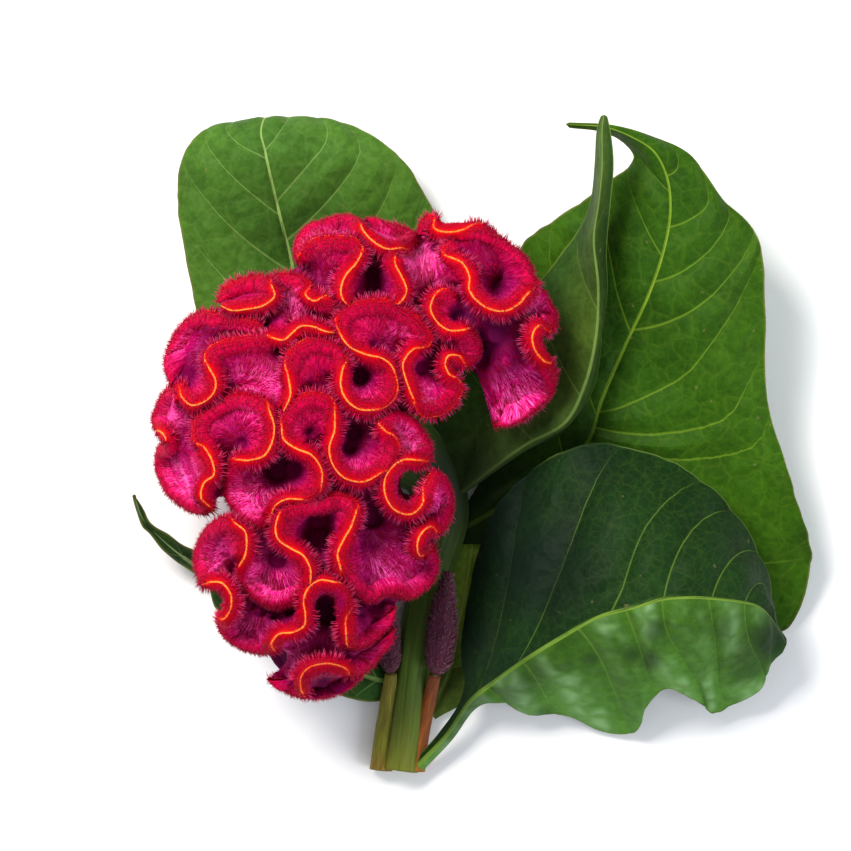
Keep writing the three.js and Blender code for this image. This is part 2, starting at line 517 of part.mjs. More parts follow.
// A leaf over stations of three points: left margin, midrib and right margin.
function leaf(stations, { rows, across, bulge, veins, wave, waves }) {
  const curves = [0, 1, 2].map((k) => new THREE.CatmullRomCurve3(
    stations.map((station) => new THREE.Vector3(...station[k])), false, "centripetal",
  ));
  const grid = Array.from({ length: rows + 1 }, (_, row) => {
    const along = row / rows;
    const [left, rib, right] = curves.map((curve) => curve.getPoint(along));
    const half = 0.5 * left.distanceTo(right);
    const ribShare = THREE.MathUtils.clamp(RIB_HALF_WIDTH / half, 0.06, 0.3);
    const halfShares = [ribShare, ...across, 1];
    const shares = [...halfShares.map((share) => -share).reverse(), 0, ...halfShares];
    const blade = THREE.MathUtils.smoothstep(half, 4, 12);
    const points = shares.map((share) => {
      const out = Math.abs(share);
      const point = rib.clone().lerp(share < 0 ? left : right, out);
      const fullness = 4 * out * (1 - out);
      const crease = Math.abs((((along * veins - 0.3 * out) % 1) + 1) % 1 - 0.5) * 4 - 1;
      const side = share < 0 ? 0 : 1.3;
      point.z += half * bulge * fullness + blade * VEIN_RELIEF * crease * Math.min(1, 3 * out);
      point.z += blade * wave * out ** 3 * Math.sin(2 * Math.PI * waves * along + side);
      return point;
    });
    return { points, shares, half, along };
  });
  const faces = [1, -1].map((sign) => grid.map(({ points, shares, half, along }, row) => {
    const before = grid[Math.max(0, row - 1)].points;
    const after = grid[Math.min(rows, row + 1)].points;
    const ribThickness = THREE.MathUtils.lerp(RIB_THICKNESS, LEAF_THICKNESS, along);
    return points.map((point, k) => {
      const last = points.length - 1;
      const sideways = points[Math.min(last, k + 1)].clone().sub(points[Math.max(0, k - 1)]);
      const up = sideways.cross(after[k].clone().sub(before[k])).normalize();
      const ridge = Math.max(0, 1 - (Math.abs(shares[k]) * half) / (1.6 * RIB_HALF_WIDTH));
      const thickness = THREE.MathUtils.lerp(LEAF_THICKNESS, ribThickness, ridge);
      return point.clone().addScaledVector(up, 0.5 * sign * thickness);
    });
  }));
  return solidFromFaces(...faces);
}

// A rod along [x, y, z, half width, half height] stations, its skin fluted or set with florets.
function rod(path, { facets, rows, relief, grow = 0, floretRows = false }) {
  const middle = new THREE.CatmullRomCurve3(path.map(([x, y, z]) => new THREE.Vector3(x, y, z)));
  const sizes = new THREE.CatmullRomCurve3(path.map(([, , , w, h]) => new THREE.Vector3(w, h, 0)));
  const points = [];
  const triangles = [];
  for (let row = 0; row <= rows; row++) {
    const along = row / rows;
    const size = sizes.getPoint(along);
    const tangent = middle.getTangent(along);
    const beyond = row === 0 ? -grow : row === rows ? grow : 0;
    const centre = middle.getPoint(along).addScaledVector(tangent, beyond);
    const side = new THREE.Vector3(tangent.y, -tangent.x, 0).normalize();
    const up = side.clone().cross(tangent);
    for (let k = 0; k < facets; k++) {
      const angle = (2 * Math.PI * k) / facets;
      const isProud = (k + (floretRows ? row : 0)) % 2 === 0;
      const scale = isProud ? 1 : 1 - relief;
      points.push(centre.clone()
        .addScaledVector(side, Math.cos(angle) * (size.x * scale + grow))
        .addScaledVector(up, Math.sin(angle) * (size.y * scale + grow)));
    }
  }
  for (let row = 0; row < rows; row++) {
    for (let k = 0; k < facets; k++) {
      const a = row * facets + k;
      const b = row * facets + ((k + 1) % facets);
      triangles.push(a, b + facets, b, a, a + facets, b + facets);
    }
  }
  const last = rows * facets;
  for (let k = 1; k + 1 < facets; k++) {
    triangles.push(0, k, k + 1);
    triangles.push(last, last + k + 1, last + k);
  }
  return solidOf(points.flatMap((point) => point.toArray()), triangles);
}

function stemSolid(grow) {
  const main = rod(STEM_PATH, { facets: STEM_FACETS, rows: 15, relief: STEM_FLUTE, grow });
  const left = rod(LEFT_STALK_PATH, { facets: 8, rows: 6, relief: STEM_FLUTE, grow });
  const right = rod(RIGHT_STALK_PATH, { facets: 8, rows: 6, relief: STEM_FLUTE, grow });
  return main.add(left).add(right);
}

function spikeSolid(path) {
  return rod(path, { facets: SPIKE_FACETS, rows: 12, relief: SPIKE_FLORET, floretRows: true });
}

// ---- Assembly -----------------------------------------------------------------------------

const aroundStem = stemSolid(FIT_GAP);
const folds = [
  [LONG_CREST, MAIN_SPINE],
  [MIDDLE_CREST, MAIN_SPINE],
  [LEFT_REAR_CREST, MAIN_SPINE],
  [CUP_CREST, MAIN_SPINE],
  [NOOK_CREST, MAIN_SPINE],
  [REAR_CREST, MAIN_SPINE],
  [HOLLOW_CREST, MAIN_SPINE],
  [FOOT_CREST, MAIN_SPINE],
  [FOOT_UNDER_CREST, MAIN_SPINE],
  [LOBE_CREST, LOBE_SPINE],
  [LOBE_EDGE_CREST, LOBE_SPINE],
];
const slices = folds.flatMap(([controls, spine]) => foldSlices(controls, spine));
const comb = kernel.Manifold.union([...slices, ...HEART.map(heartSwelling)]);
const trimmed = mainBody(comb.subtract(aroundStem).subtract(BELOW_TABLE)).simplify(FLATNESS);

const celosia = new THREE.Group();
celosia.add(
  piece("comb", partedSkins(trimmed), 0xc4103c, 0.7),
  piece("stem", stemSolid(0), 0x55702c, 0.6),
  piece("side_spike_left", spikeSolid(LEFT_SPIKE_PATH), 0x6a3850, 0.8),
  piece("side_spike_right", spikeSolid(RIGHT_SPIKE_PATH), 0x6a3850, 0.8),
);
const broad = [0.4, 0.72];
const narrow = [0.6];
const leaves = [
  ["leaf_upper_left", UPPER_LEFT_LEAF,
    { rows: 18, across: broad, bulge: 0.06, veins: 5, wave: 1, waves: 3 }],
  ["leaf_upper_right", UPPER_RIGHT_LEAF,
    { rows: 28, across: broad, bulge: 0.05, veins: 7, wave: 1, waves: 5 }],
  ["leaf_lower_right", LOWER_RIGHT_LEAF,
    { rows: 28, across: broad, bulge: 0.06, veins: 7, wave: 0.8, waves: 6 }],
  ["leaf_folded", FOLDED_LEAF,
    { rows: 22, across: narrow, bulge: -0.05, veins: 6, wave: 0.5, waves: 4 }],
  ["leaf_left", LEFT_LEAF,
    { rows: 18, across: narrow, bulge: 0.08, veins: 5, wave: 0.6, waves: 4 }],
  ["leaf_small", SMALL_LEAF,
    { rows: 10, across: narrow, bulge: 0.08, veins: 4, wave: 0.6, waves: 2 }],
  ["leaf_back", BACK_LEAF,
    { rows: 9, across: narrow, bulge: 0.06, veins: 4, wave: 0.4, waves: 2 }],
];
for (const [name, stations, form] of leaves) {
  celosia.add(piece(name, leaf(stations, form).subtract(aroundStem), 0x3f6b26, 0.6));
}

export default celosia;
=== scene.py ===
"""Cockscomb celosia, dressed: fringed folds, veined leaves, stem and side spikes, lying on a table.

Tables and shape formulas are in millimetres, in the frame of the part: +Z up, the table is z = 0,
+Y from the cut end of the stem towards the comb.
"""
import math

import bpy
import numpy as np
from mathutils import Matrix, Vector


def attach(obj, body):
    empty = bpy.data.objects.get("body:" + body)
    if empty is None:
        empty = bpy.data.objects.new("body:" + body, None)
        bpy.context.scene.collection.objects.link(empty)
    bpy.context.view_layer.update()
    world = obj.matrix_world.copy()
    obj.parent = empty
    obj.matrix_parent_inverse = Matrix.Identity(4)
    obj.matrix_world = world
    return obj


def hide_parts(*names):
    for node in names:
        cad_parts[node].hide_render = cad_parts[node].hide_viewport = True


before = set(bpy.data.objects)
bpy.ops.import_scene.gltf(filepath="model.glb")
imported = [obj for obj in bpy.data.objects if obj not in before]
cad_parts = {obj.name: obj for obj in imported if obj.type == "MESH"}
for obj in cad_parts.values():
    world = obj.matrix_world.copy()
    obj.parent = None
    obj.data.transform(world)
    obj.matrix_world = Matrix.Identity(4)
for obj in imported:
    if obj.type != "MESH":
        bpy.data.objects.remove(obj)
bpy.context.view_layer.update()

MM = 0.001
SEED = 11

# ---- Driving dimensions ---------------------------------------------------------------------

MAIN_DOME = dict(centre=(-50, 1), radii=(52, 82), edge=38, rise=34)
LOBE_DOME = dict(centre=(5, 37), radii=(25, 36), edge=40, rise=20)
MAIN_SPINE = dict(paths=[[(-55, 42), (-45, 5), (-50, -38), (-47, -66)], [(-45, 5), (-27, -22)]], floor=20)
LOBE_SPINE = dict(paths=[[(4, 52), (5, 32), (0, 22)]], floor=32)

CREST_PITCH = 0.7  # length of crest between two cross sections
CREST_DROOP = 10  # from the dome down to the lip of a crest that flares fully
FOLD_DEPTH = 36  # from the dome down to the roots of the folds
WAVE_SMOOTHING = 12  # bends of a crest shorter than this don't reach its root
ROOT_SMOOTHING = 6
ROOT_REACH = 0.62  # how far the roots stand out from the spine, as a share of the crest's distance

# ---- Control points ---------------------------------------------------------------------------

# A crest is a row of [x, y, flare]: flare is 0, or left out, where its lip stands up, and 1 where it
# leans outwards. A leaf is a row of stations, each the [x, y, z] of its left margin, rib and right
# margin. A stem is a row of [x, y, z, half width, half height].

LONG_CREST = [
    [-42, 33.5, 0.3], [-46, 34], [-50, 35.5], [-53.5, 35.5], [-56, 33.5], [-58.5, 31.5], [-62, 32],
    [-65.5, 31.5, 0.1], [-71, 30.5, 0.3], [-77, 29.5, 0.3], [-81, 27.5, 0.2], [-81.5, 23],
    [-79.5, 19], [-80, 15.5], [-83, 12.5], [-87, 11.5], [-90, 14, 0.1], [-93, 16.5, 0.5],
    [-96, 15, 1], [-98.5, 10.5, 1], [-99.5, 6, 0.8], [-97, 3.5, 0.2], [-95, 1], [-95, -1, 0.2],
    [-97.5, -2, 0.7], [-98.5, -6, 1], [-97.5, -11, 1], [-95, -15.5, 1], [-91, -19, 1],
    [-86.5, -21.5, 1], [-83, -21, 0.6], [-84, -17], [-83, -12.5], [-80, -10], [-80.5, -6],
    [-83, -1.5], [-85, 2], [-84.5, 6.5, 0.2], [-81, 10, 0.3], [-76.5, 13, 0.4], [-71, 14, 0.4],
    [-66.5, 12.5, 0.3], [-63, 9.5], [-61.5, 5], [-62, 0.5], [-64.5, -4], [-69, -5.5],
    [-72.5, -5.5, 0.2], [-75.5, -7.5, 0.5], [-77, -11, 0.9], [-77, -15.5, 1], [-74.5, -20.5, 1],
    [-70, -24.5, 1], [-65.5, -26, 0.8], [-62.5, -23, 0.4], [-61, -19.5], [-57.5, -17.5],
    [-53.5, -17.5], [-49.5, -16], [-47, -12.5], [-47, -8.5], [-50, -4], [-54.5, -2], [-58.5, 1],
    [-59, 4.5], [-57.5, 8], [-54.5, 12], [-50, 13.5], [-45.5, 12.5], [-43, 9], [-43, 3.5],
    [-44.5, -2], [-43, -7.5], [-39.5, -11], [-34, -12], [-29, -9.5], [-25.5, -5.5], [-25, -0.5],
    [-27.5, 3.5], [-27.5, 7.5, 0.2], [-25, 9.5, 0.5], [-19, 7, 0.7], [-15, 2, 0.8], [-13.5, -3, 0.6],
    [-17, -5.5, 0.1], [-22, -5.5], [-25.5, -8], [-27.5, -12], [-27, -17], [-24, -21], [-19.5, -22],
    [-16, -19], [-13.5, -14.5], [-11, -10, 0.2], [-8.5, -12, 0.7], [-7, -17, 0.9], [-7, -21.5, 0.8],
    [-9.5, -26, 0.4], [-13.5, -26, 0.1], [-16.5, -28.5], [-17.5, -32], [-16.5, -35, 0.2],
    [-13, -34, 0.6], [-11.5, -37, 0.9], [-12.5, -42, 1], [-16, -46, 1], [-20.5, -48, 0.9],
    [-24, -46.5, 0.8], [-28, -47, 0.8], [-32, -49, 0.8], [-36, -47, 0.7], [-39, -43, 0.3],
    [-41, -39], [-42, -34.5], [-40.5, -30.5], [-38, -26], [-36.5, -21.5], [-38, -18.5, 0.2],
    [-42, -17, 0.3], [-47, -18, 0.2], [-52.5, -19.5], [-56.5, -20.5], [-60, -22.5], [-61, -26.5],
    [-60, -30], [-56.5, -32.5], [-52.5, -35], [-50.5, -39], [-50.5, -43], [-52.5, -47, 0.3],
    [-56, -49.5, 0.7], [-61, -51, 0.9], [-65.5, -49.5, 1], [-70, -46, 1], [-72.5, -42, 0.9],
    [-72, -38, 0.5], [-70.5, -35], [-70, -31.5], [-70.5, -27.5], [-73.5, -25], [-77, -24, 0.2],
    [-81, -25.5, 0.6], [-84, -29, 0.9], [-86, -34, 1], [-86, -38.5, 0.8], [-84.5, -41.5, 0.3],
    [-81, -43], [-77.5, -43.5], [-75, -47], [-75, -51], [-77, -54.5], [-79, -56.5, 0.4],
    [-77.5, -60, 0.9], [-73, -63.5, 1], [-68, -65, 1], [-64, -65, 0.8], [-62.5, -62, 0.2],
    [-60, -59], [-56, -58.5], [-52.5, -56.5], [-52, -53], [-52.5, -49], [-51, -45], [-47.5, -42.5],
    [-43.5, -43], [-40, -45.5], [-39, -49.5], [-39.5, -54], [-39.5, -58.5], [-39, -62.5, 0.3],
    [-34.5, -63, 0.8], [-30, -60.5, 1], [-26.5, -56, 1], [-24.5, -51, 0.8],
]
MIDDLE_CREST = [
    [-58.5, 9.5], [-56.5, 14.5], [-57, 20], [-56, 26], [-53, 29], [-49.5, 30.5], [-45, 30],
    [-41, 27.5], [-40.5, 22.5], [-41, 17.5], [-39.5, 13.5], [-36, 10.5], [-31.5, 10], [-27, 12],
    [-24.5, 16.5], [-25, 22.5], [-28, 25.5], [-33.5, 27], [-38.5, 29.5], [-41, 33], [-40.5, 38.5],
    [-37, 41], [-32, 42], [-27, 42], [-21.5, 39.5], [-17, 35.5], [-15, 32], [-19, 28.5], [-22, 24],
    [-21, 19], [-19, 14], [-15, 10], [-10.5, 10.5], [-7, 14], [-5.5, 17], [-8, 21], [-9, 24],
    [-8, 26.5], [-5, 26.5, 0.3], [-1.5, 25.5, 0.7], [1, 26.5, 0.9], [1.5, 30, 0.8], [-0.5, 33, 0.4],
    [-3.5, 34.5], [-8, 34.5], [-11.5, 37], [-13.5, 41], [-12.5, 44.5], [-9.5, 45.5],
    [-5.5, 45.5, 0.3],
]
LEFT_REAR_CREST = [
    [-93.5, 17.5, 0.3], [-95, 21.5, 0.8], [-95.5, 26, 1], [-93.5, 31.5, 1], [-90, 36.5, 1],
    [-85.5, 39, 0.9], [-80.5, 38.5, 0.5], [-75, 37.5, 0.3], [-69.5, 36.5, 0.2], [-65, 34.5, 0.3],
]
CUP_CREST = [
    [-78, 42], [-74.5, 40.5], [-69.5, 41], [-65, 42], [-61.5, 45], [-62.5, 48], [-65, 50, 0.3],
    [-69.5, 49.5, 0.4], [-74, 48, 0.5], [-77.5, 45.5, 0.5], [-79, 43, 0.4],
]
NOOK_CREST = [
    [-63, 50, 0.4], [-59.5, 51, 0.5], [-55, 50.5, 0.5], [-52.5, 48.5, 0.2], [-52, 45.5],
    [-49.5, 43.5], [-45.5, 43, 0.1], [-42, 42, 0.3],
]
REAR_CREST = [
    [-38, 41.5, 0.2], [-40.5, 44], [-41, 47.5], [-39.5, 51.5], [-36.5, 55], [-35, 58], [-37, 61],
    [-41.5, 61.5], [-46.5, 61.5], [-51, 59.5, 0.1], [-54, 57.5, 0.3], [-55, 60, 0.6],
    [-54, 63.5, 0.9], [-51, 67, 1], [-46, 68.5, 1], [-40.5, 70, 1], [-36.5, 69, 0.6], [-35, 66.5],
    [-33, 63.5], [-30, 61], [-26.5, 59.5], [-23, 60], [-20, 62, 0.3], [-18.5, 64.5, 0.7],
    [-22.5, 66.5, 1], [-26.5, 67.5, 1], [-31, 69, 1], [-33.5, 69, 0.9],
]
HOLLOW_CREST = [
    [-25.5, 41.5, 0.1], [-22.5, 43.5], [-21, 47], [-22.5, 51], [-24.5, 55], [-25.5, 58.5],
    [-23.5, 60.5, 0.2],
]
LOBE_CREST = [
    [-17.5, 64, 0.6], [-16.5, 67.5, 0.6], [-14, 68.5, 0.3], [-12.5, 66.5], [-8.5, 65], [-3.5, 65.5],
    [2, 65.5, 0.1], [6.5, 63.5, 0.5], [11, 61, 0.7], [15, 57.5, 0.7], [17.5, 54, 0.6], [18, 50, 0.1],
    [16.5, 46], [13.5, 42.5], [9.5, 40.5], [5, 41], [1, 43.5], [-1.5, 47], [-1.5, 51], [-3.5, 55],
    [-7, 57], [-8, 59.5], [-7, 62.5, 0.2],
]
LOBE_EDGE_CREST = [
    [17.5, 49, 0.3], [20.5, 47.5, 0.8], [23, 43.5, 1], [25.5, 39, 1], [23, 36.5, 0.3], [20, 36],
    [18, 33], [18.5, 29], [21.5, 25, 0.1], [24, 21.5, 0.5], [25, 17.5, 0.9], [23, 13.5, 1],
    [19, 10, 1], [15, 7, 1], [10, 5.5, 1], [6, 5.5, 0.9],
]
FOOT_CREST = [
    [-64, -73.5, 0.8], [-59, -77, 1], [-55, -78.5, 0.7], [-53.5, -76.5, 0.1], [-53.5, -73],
    [-51.5, -70], [-47.5, -68.5], [-43.5, -68.5], [-39.5, -70, 0.1], [-36, -71.5, 0.5],
    [-32.5, -70, 0.9], [-29, -65.5, 1], [-25.5, -61.5, 0.9], [-25, -57.5, 0.9],
]
FOOT_UNDER_CREST = [
    [-54, -79, 0.9], [-49, -79.5, 1], [-43.5, -78.5, 1], [-39, -75.5, 1], [-34.5, -72.5, 0.9],
]
UPPER_LEFT_LEAF = [
    [[-30, -0.5, 13.5], [-28.5, 0, 15], [-27, 0.5, 13.5]],
    [[-34, 11, 9], [-32.5, 12, 10.5], [-30.5, 13, 9]],
    [[-61, 23, 4], [-42, 25, 6.5], [-26, 27, 4]],
    [[-83, 33.5, 5], [-53, 41.5, 7], [-14.5, 39, 5]],
    [[-89.5, 56, 8], [-58, 60.5, 9], [-10.5, 67, 9]],
    [[-92.5, 75, 11], [-62, 76.5, 14], [-16, 78.5, 12]],
    [[-91, 89, 12], [-65, 90, 18], [-24, 89.5, 14]],
    [[-84, 97.5, 10], [-66.5, 96.5, 15], [-39, 99, 12]],
    [[-74, 100, 6], [-65.5, 101, 10], [-52.5, 101.5, 8]],
    [[-65.5, 100.5, 0.5], [-63.5, 101, 1.5], [-61.5, 100.5, 0.5]],
]
UPPER_RIGHT_LEAF = [
    [[-8.5, -26.5, 4], [-7, -29, 6], [-5.5, -32, 4]],
    [[-1, -18, 5], [2.5, -24, 8], [5, -32, 5]],
    [[5, -6, 6], [16, -15, 9], [26.5, -32, 5]],
    [[8.5, 10, 6], [28, -8, 10], [67, -55, 1]],
    [[12, 28.5, 6], [36, 0.5, 12], [97.5, -59, 3]],
    [[13.5, 47, 7], [40, 13, 15], [105.5, -37, 12]],
    [[14.5, 60, 11], [47.5, 30.5, 19], [100, -15.5, 20]],
    [[26.5, 70, 19], [54.5, 46, 28], [91.5, 13, 26]],
    [[36.5, 76.5, 24], [59, 59.5, 33], [90.5, 41, 30]],
    [[42, 81, 28], [61, 72, 36], [88, 64, 32]],
    [[47.5, 84.5, 30], [60, 82, 38], [77, 75.5, 34]],
    [[50, 88.5, 32], [56, 90, 40], [67, 89, 36]],
    [[46, 93.5, 34], [49, 94.5, 41], [54.5, 95, 38]],
    [[39, 96.5, 38], [41, 97.5, 42], [43.5, 98, 41]],
    [[29.5, 97.5, 41], [28.5, 98.5, 42], [29.5, 99, 42]],
]
LOWER_RIGHT_LEAF = [
    [[-18.5, -100, 6], [-17.5, -101.5, 8], [-16, -103, 6]],
    [[-10.5, -91, 9], [-8.5, -92, 12], [-7, -93.5, 9]],
    [[-3.5, -79.5, 13], [-1, -81, 17], [1, -83, 13]],
    [[-3, -64.5, 12], [5.5, -75.5, 23], [8, -81, 16]],
    [[0, -44.5, 12], [15, -68.5, 31], [17.5, -84.5, 10]],
    [[5, -26.5, 14], [26.5, -61, 39], [30.5, -85.5, 6]],
    [[12.5, -14.5, 18], [39, -54, 45], [41, -90, 3]],
    [[23.5, -6, 22], [50, -51, 49], [50, -91, 4]],
    [[36.5, -1, 26], [58.5, -48.5, 51], [53.5, -82.5, 15]],
    [[51.5, -3, 28], [67, -48, 51], [61, -76.5, 23]],
    [[67.5, -10, 28], [75, -48.5, 48], [70, -80.5, 16]],
    [[81, -23, 26], [82.5, -49.5, 44], [75.5, -84, 8]],
    [[90, -39, 24], [88, -51, 38], [89.5, -76.5, 11]],
    [[94, -56, 22], [92.5, -55, 30], [92.5, -69.5, 17]],
    [[97.5, -61.5, 20], [97.5, -63, 20], [96.5, -65.5, 19]],
]
FOLDED_LEAF = [
    [[-8.5, -16, 9], [-7, -18, 11], [-7, -20, 8]],
    [[-11, -5, 12], [2.5, -11, 19], [1, -13, 11]],
    [[-13.5, 7, 13], [16, -1, 25], [15, -3, 13]],
    [[-7.5, 22, 12], [28.5, 6, 30], [28.5, 4.5, 17]],
    [[8, 34.5, 12], [34.5, 17.5, 34], [36.5, 16, 21]],
    [[17, 45.5, 15], [38, 33, 38], [39.5, 32, 26]],
    [[26.5, 57, 22], [38.5, 48.5, 42], [41, 47.5, 31]],
    [[34, 68, 31], [37, 62.5, 46], [41, 61, 37]],
    [[36.5, 75.5, 38], [38.5, 74, 49], [42, 73, 43]],
    [[37.5, 86, 44], [39.5, 85, 52], [43, 86, 48]],
    [[38, 96, 49], [39.5, 96.5, 54], [42, 96, 51]],
    [[39, 100.5, 53], [40, 101, 54], [41, 100.5, 53]],
]
LEFT_LEAF = [
    [[-20.5, -60, 4], [-20, -62, 6], [-20, -64, 4]],
    [[-38.5, -54.5, 4], [-38.5, -58, 6], [-39, -61.5, 4]],
    [[-54, -46.5, 3], [-57, -52, 6], [-61.5, -60, 3]],
    [[-70.5, -38.5, 4], [-74, -45.5, 7], [-80, -53, 4]],
    [[-82.5, -35.5, 6], [-83.5, -41, 9], [-83.5, -44.5, 7]],
    [[-91, -32.5, 9], [-91, -36, 11], [-93.5, -37, 10]],
    [[-95.5, -29, 12], [-96.5, -31.5, 13], [-97.5, -33.5, 12]],
    [[-99.5, -26.5, 15], [-100.5, -27.5, 15], [-101.5, -28.5, 15]],
    [[-101.5, -24.5, 17], [-102.5, -25.5, 17], [-103.5, -26.5, 17]],
    [[-103, -21.5, 18], [-104, -22.5, 19], [-105, -22, 18]],
    [[-105.5, -17, 21], [-106, -16.5, 21], [-106.5, -17, 21]],
]
SMALL_LEAF = [
    [[-23, -73, 4], [-22.5, -75, 6], [-22.5, -77, 4]],
    [[-27.5, -68, 4], [-28, -75, 7], [-29, -81, 4]],
    [[-34.5, -64.5, 5], [-36.5, -72.5, 9], [-38, -80.5, 6]],
    [[-44.5, -61, 6], [-46, -68, 10], [-47, -76.5, 7]],
    [[-54, -59.5, 6], [-55, -65, 9], [-54.5, -71.5, 7]],
    [[-59.5, -61.5, 4], [-60, -63, 5], [-59, -65.5, 4]],
]
BACK_LEAF = [
    [[-15, -83, 2.6], [-13.5, -85, 3.6], [-12, -87, 2.6]],
    [[-14, -70, 2.6], [-8, -73.5, 4.2], [0, -79, 2.6]],
    [[-12, -58, 2.6], [-5.5, -61, 5], [3.5, -65, 2.8]],
    [[-10, -45, 2.4], [-2.5, -48, 4.6], [6, -51, 2.8]],
    [[-8, -35, 2], [-1, -37, 3.2], [7, -40, 2.4]],
    [[-5.5, -27, 1.6], [0.5, -28, 2.2], [7, -31, 1.8]],
    [[-1, -21.5, 1.4], [2.5, -21.5, 1.6], [6, -23, 1.4]],
]
STEM_PATH = [
    [-23, -103, 5.1, 5.6, 5.2], [-21.5, -93, 5.4, 5.3, 5.2], [-19.3, -74, 6, 5.3, 4.8],
    [-16.2, -55, 7, 6.1, 4.6], [-12, -36.5, 8, 6.6, 4.6], [-9, -22.5, 9.5, 7.6, 4.6],
    [-13.6, -9.5, 12.5, 9.4, 4.6], [-24, -1, 16, 12, 4.6], [-36, 3.5, 19, 12, 4.2],
]
LEFT_STALK_PATH = [
    [-29, -103, 3.9, 3.6, 3.8], [-28, -93, 4.4, 3.2, 3.2], [-26.5, -80, 6.5, 2.6, 2.6],
    [-25.8, -72.5, 9, 1.9, 1.9],
]
RIGHT_STALK_PATH = [
    [-18.5, -103, 4, 3.4, 3.8], [-17, -93, 5, 3, 3], [-14, -81, 8, 2.3, 2.3],
    [-12, -73, 12.5, 1.8, 1.8],
]
LEFT_SPIKE_PATH = [
    [-25.9, -72, 9.4, 1.5, 1.5], [-26.2, -68.5, 10.5, 3, 3], [-26.7, -60, 12.5, 3.3, 3.3],
    [-27.2, -53, 14, 2.4, 2.4], [-27.4, -47.5, 15, 0.9, 0.9],
]
RIGHT_SPIKE_PATH = [
    [-11.9, -72.4, 12.8, 1.6, 1.6], [-11.2, -69, 13.6, 4, 4], [-10.2, -60, 16, 4.7, 4.7],
    [-9, -49, 18.5, 3.2, 3.2], [-8, -40.5, 20, 0.9, 0.9],
]
HEART = [  # swellings under the folds, each with so many pleats around it
    dict(centre=[-53, -14, 16], radii=[27, 35, 18], pleats=15),
    dict(centre=[-48, 6, 31], radii=[31, 46, 13], pleats=15),
    dict(centre=[-51, -52, 24], radii=[19, 26, 10], pleats=9),
    dict(centre=[-28, -30, 25], radii=[17, 17, 9], pleats=9),
    dict(centre=[-38, 50, 28], radii=[17, 15, 11], pleats=8),
    dict(centre=[6, 40, 33], radii=[15, 23, 7], pleats=9),
    dict(centre=[-14, 36, 33], radii=[20, 12, 8], pleats=8),
]

# Stretches where a crest is rolled over to one side: first and last control point, and by how many
# mm towards the left of the crest's own direction.
LONG_ROLLS = [
    (7, 10, -3), (17, 20, -3), (23, 30, -3), (36, 41, 3), (48, 53, -3), (58, 58, -2), (65, 68, 3),
    (76, 77, -2.5), (79, 83, 3), (92, 97, 3), (102, 111, 3), (117, 121, -3), (129, 134, 3),
    (140, 145, -3), (151, 155, -3), (165, 166, 2.5), (170, 173, -3),
]
MIDDLE_ROLLS = [(3, 7, 3), (13, 14, -1.2), (20, 26, 3), (31, 34, -3), (39, 42, -3), (48, 49, 2.5)]

HOLLOWS = [  # [x, y, radius, depth below the dome]: throats of the bowls
    [-31.6, 52, 1.6, 17.5], [-31.3, 48, 1.8, 17.5], [-31.4, 44, 1.2, 13], [-35.3, 20.2, 2.2, 15],
    [-31, 30, 1, 7.5], [-16.4, 22.9, 1.8, 10], [-5, 38.8, 1.6, 10], [8.7, 48, 2.8, 20],
    [-68.8, 44.5, 0.6, 5.5], [-88.5, 21, 1.8, 11], [-63.5, 38, 0.8, 7], [-71.4, -0.6, 1.2, 9.5],
    [-50.5, 3, 0.8, 8.5], [-37.2, 3, 2, 17], [-38.6, -1.6, 1.6, 15], [-20.8, -12.7, 1.6, 11],
    [-60.5, -8, 3.4, 19], [-56, -8.5, 2.4, 16], [-48, -30, 3.6, 18], [-48, -24, 2.8, 14],
    [-31.6, -22.6, 3.4, 19], [-60.5, -36, 2.4, 15], [-65, -31, 1.6, 13],
    [-70, -50.8, 1.3, 11.5], [-66.5, -52, 1.3, 11.5], [-63, -52.8, 1.3, 11.5], [-59, -52.5, 1.3, 11],
    [-45.6, -52, 3.6, 19], [-34.4, -52, 1.6, 12], [-46.8, -74.7, 1.6, 10], [6.5, 33, 2.6, 9.5],
    [-11.8, 60.5, 1.4, 11], [-75.3, 17.4, 1.4, 10], [-43.5, -16.6, 1, 10],
    [-31, 10, 1, 9.5], [-32.2, -17.5, 1.2, 12], [-73, 56, 1, 8.5],
]
DENTS = [[10, 25, 1.6, 4], [-30.5, -29.5, 2.8, 15]]  # the same, where no fibres start

# Spots of a colour, each [x, y, reach, strength].
# Painted sheen highlights: where the silky walls are lit pinkest and palest.
SHEEN_SPOTS = [
    [-57.5, 45, 6, 1.5], [-66.3, 16, 9, 1.1], [14.5, 11, 9.5, 1.6], [-21, 0.5, 6, 1.3],
    [-13.6, 13.6, 5, 0.8], [-24, -37, 9, 0.8], [-65.2, -44.5, 9, 1.2], [-95, 9.6, 6, 0.8],
    [-91.5, -13, 7.5, 1], [-70, -18.3, 8, 1], [-82, -35.7, 7, 0.7], [-68.8, -57.7, 7, 0.6],
    [-9.6, -19.5, 6, 0.8], [-18, 56, 8, 1.7], [22, 43, 6, 0.6], [-46, 63, 7, 0.6],
    [-26.7, 66, 4, 0.7], [-20.8, 35, 6, 0.5], [-37, -8, 6, 0.35], [-34, 13.6, 5, 0.3],
    [-56, -67.6, 7, 0.5], [-33, -67, 5, 0.5], [-92.5, 33.5, 6.5, 1.1], [-66.3, -24.2, 6, 1.2],
]
DEEP_SHADE = [  # where the leaves are darkest, close to the comb and the stem
    [0, -20, 27, 0.9], [-4, -62, 15, 0.7], [16, 8, 16, 0.5], [18, -38, 20, 0.8], [-50, 62, 14, 0.4],
    [36, 0, 12, 0.5], [-3, -86, 13, 0.6], [12, -72, 12, 0.5],
]
DIM_LOBES = [  # painted shade on the lower right leaf: its tip, and the hollows between side veins
    [93, -62, 8, 0.75], [86, -68, 7, 0.5], [56, -58, 3.5, 0.55], [55, -68, 3, 0.6], [22, -86, 4, 0.5],
    [77, -58, 4, 0.4], [37, -67, 2.5, 0.4], [49, -66, 3, 0.4],
]
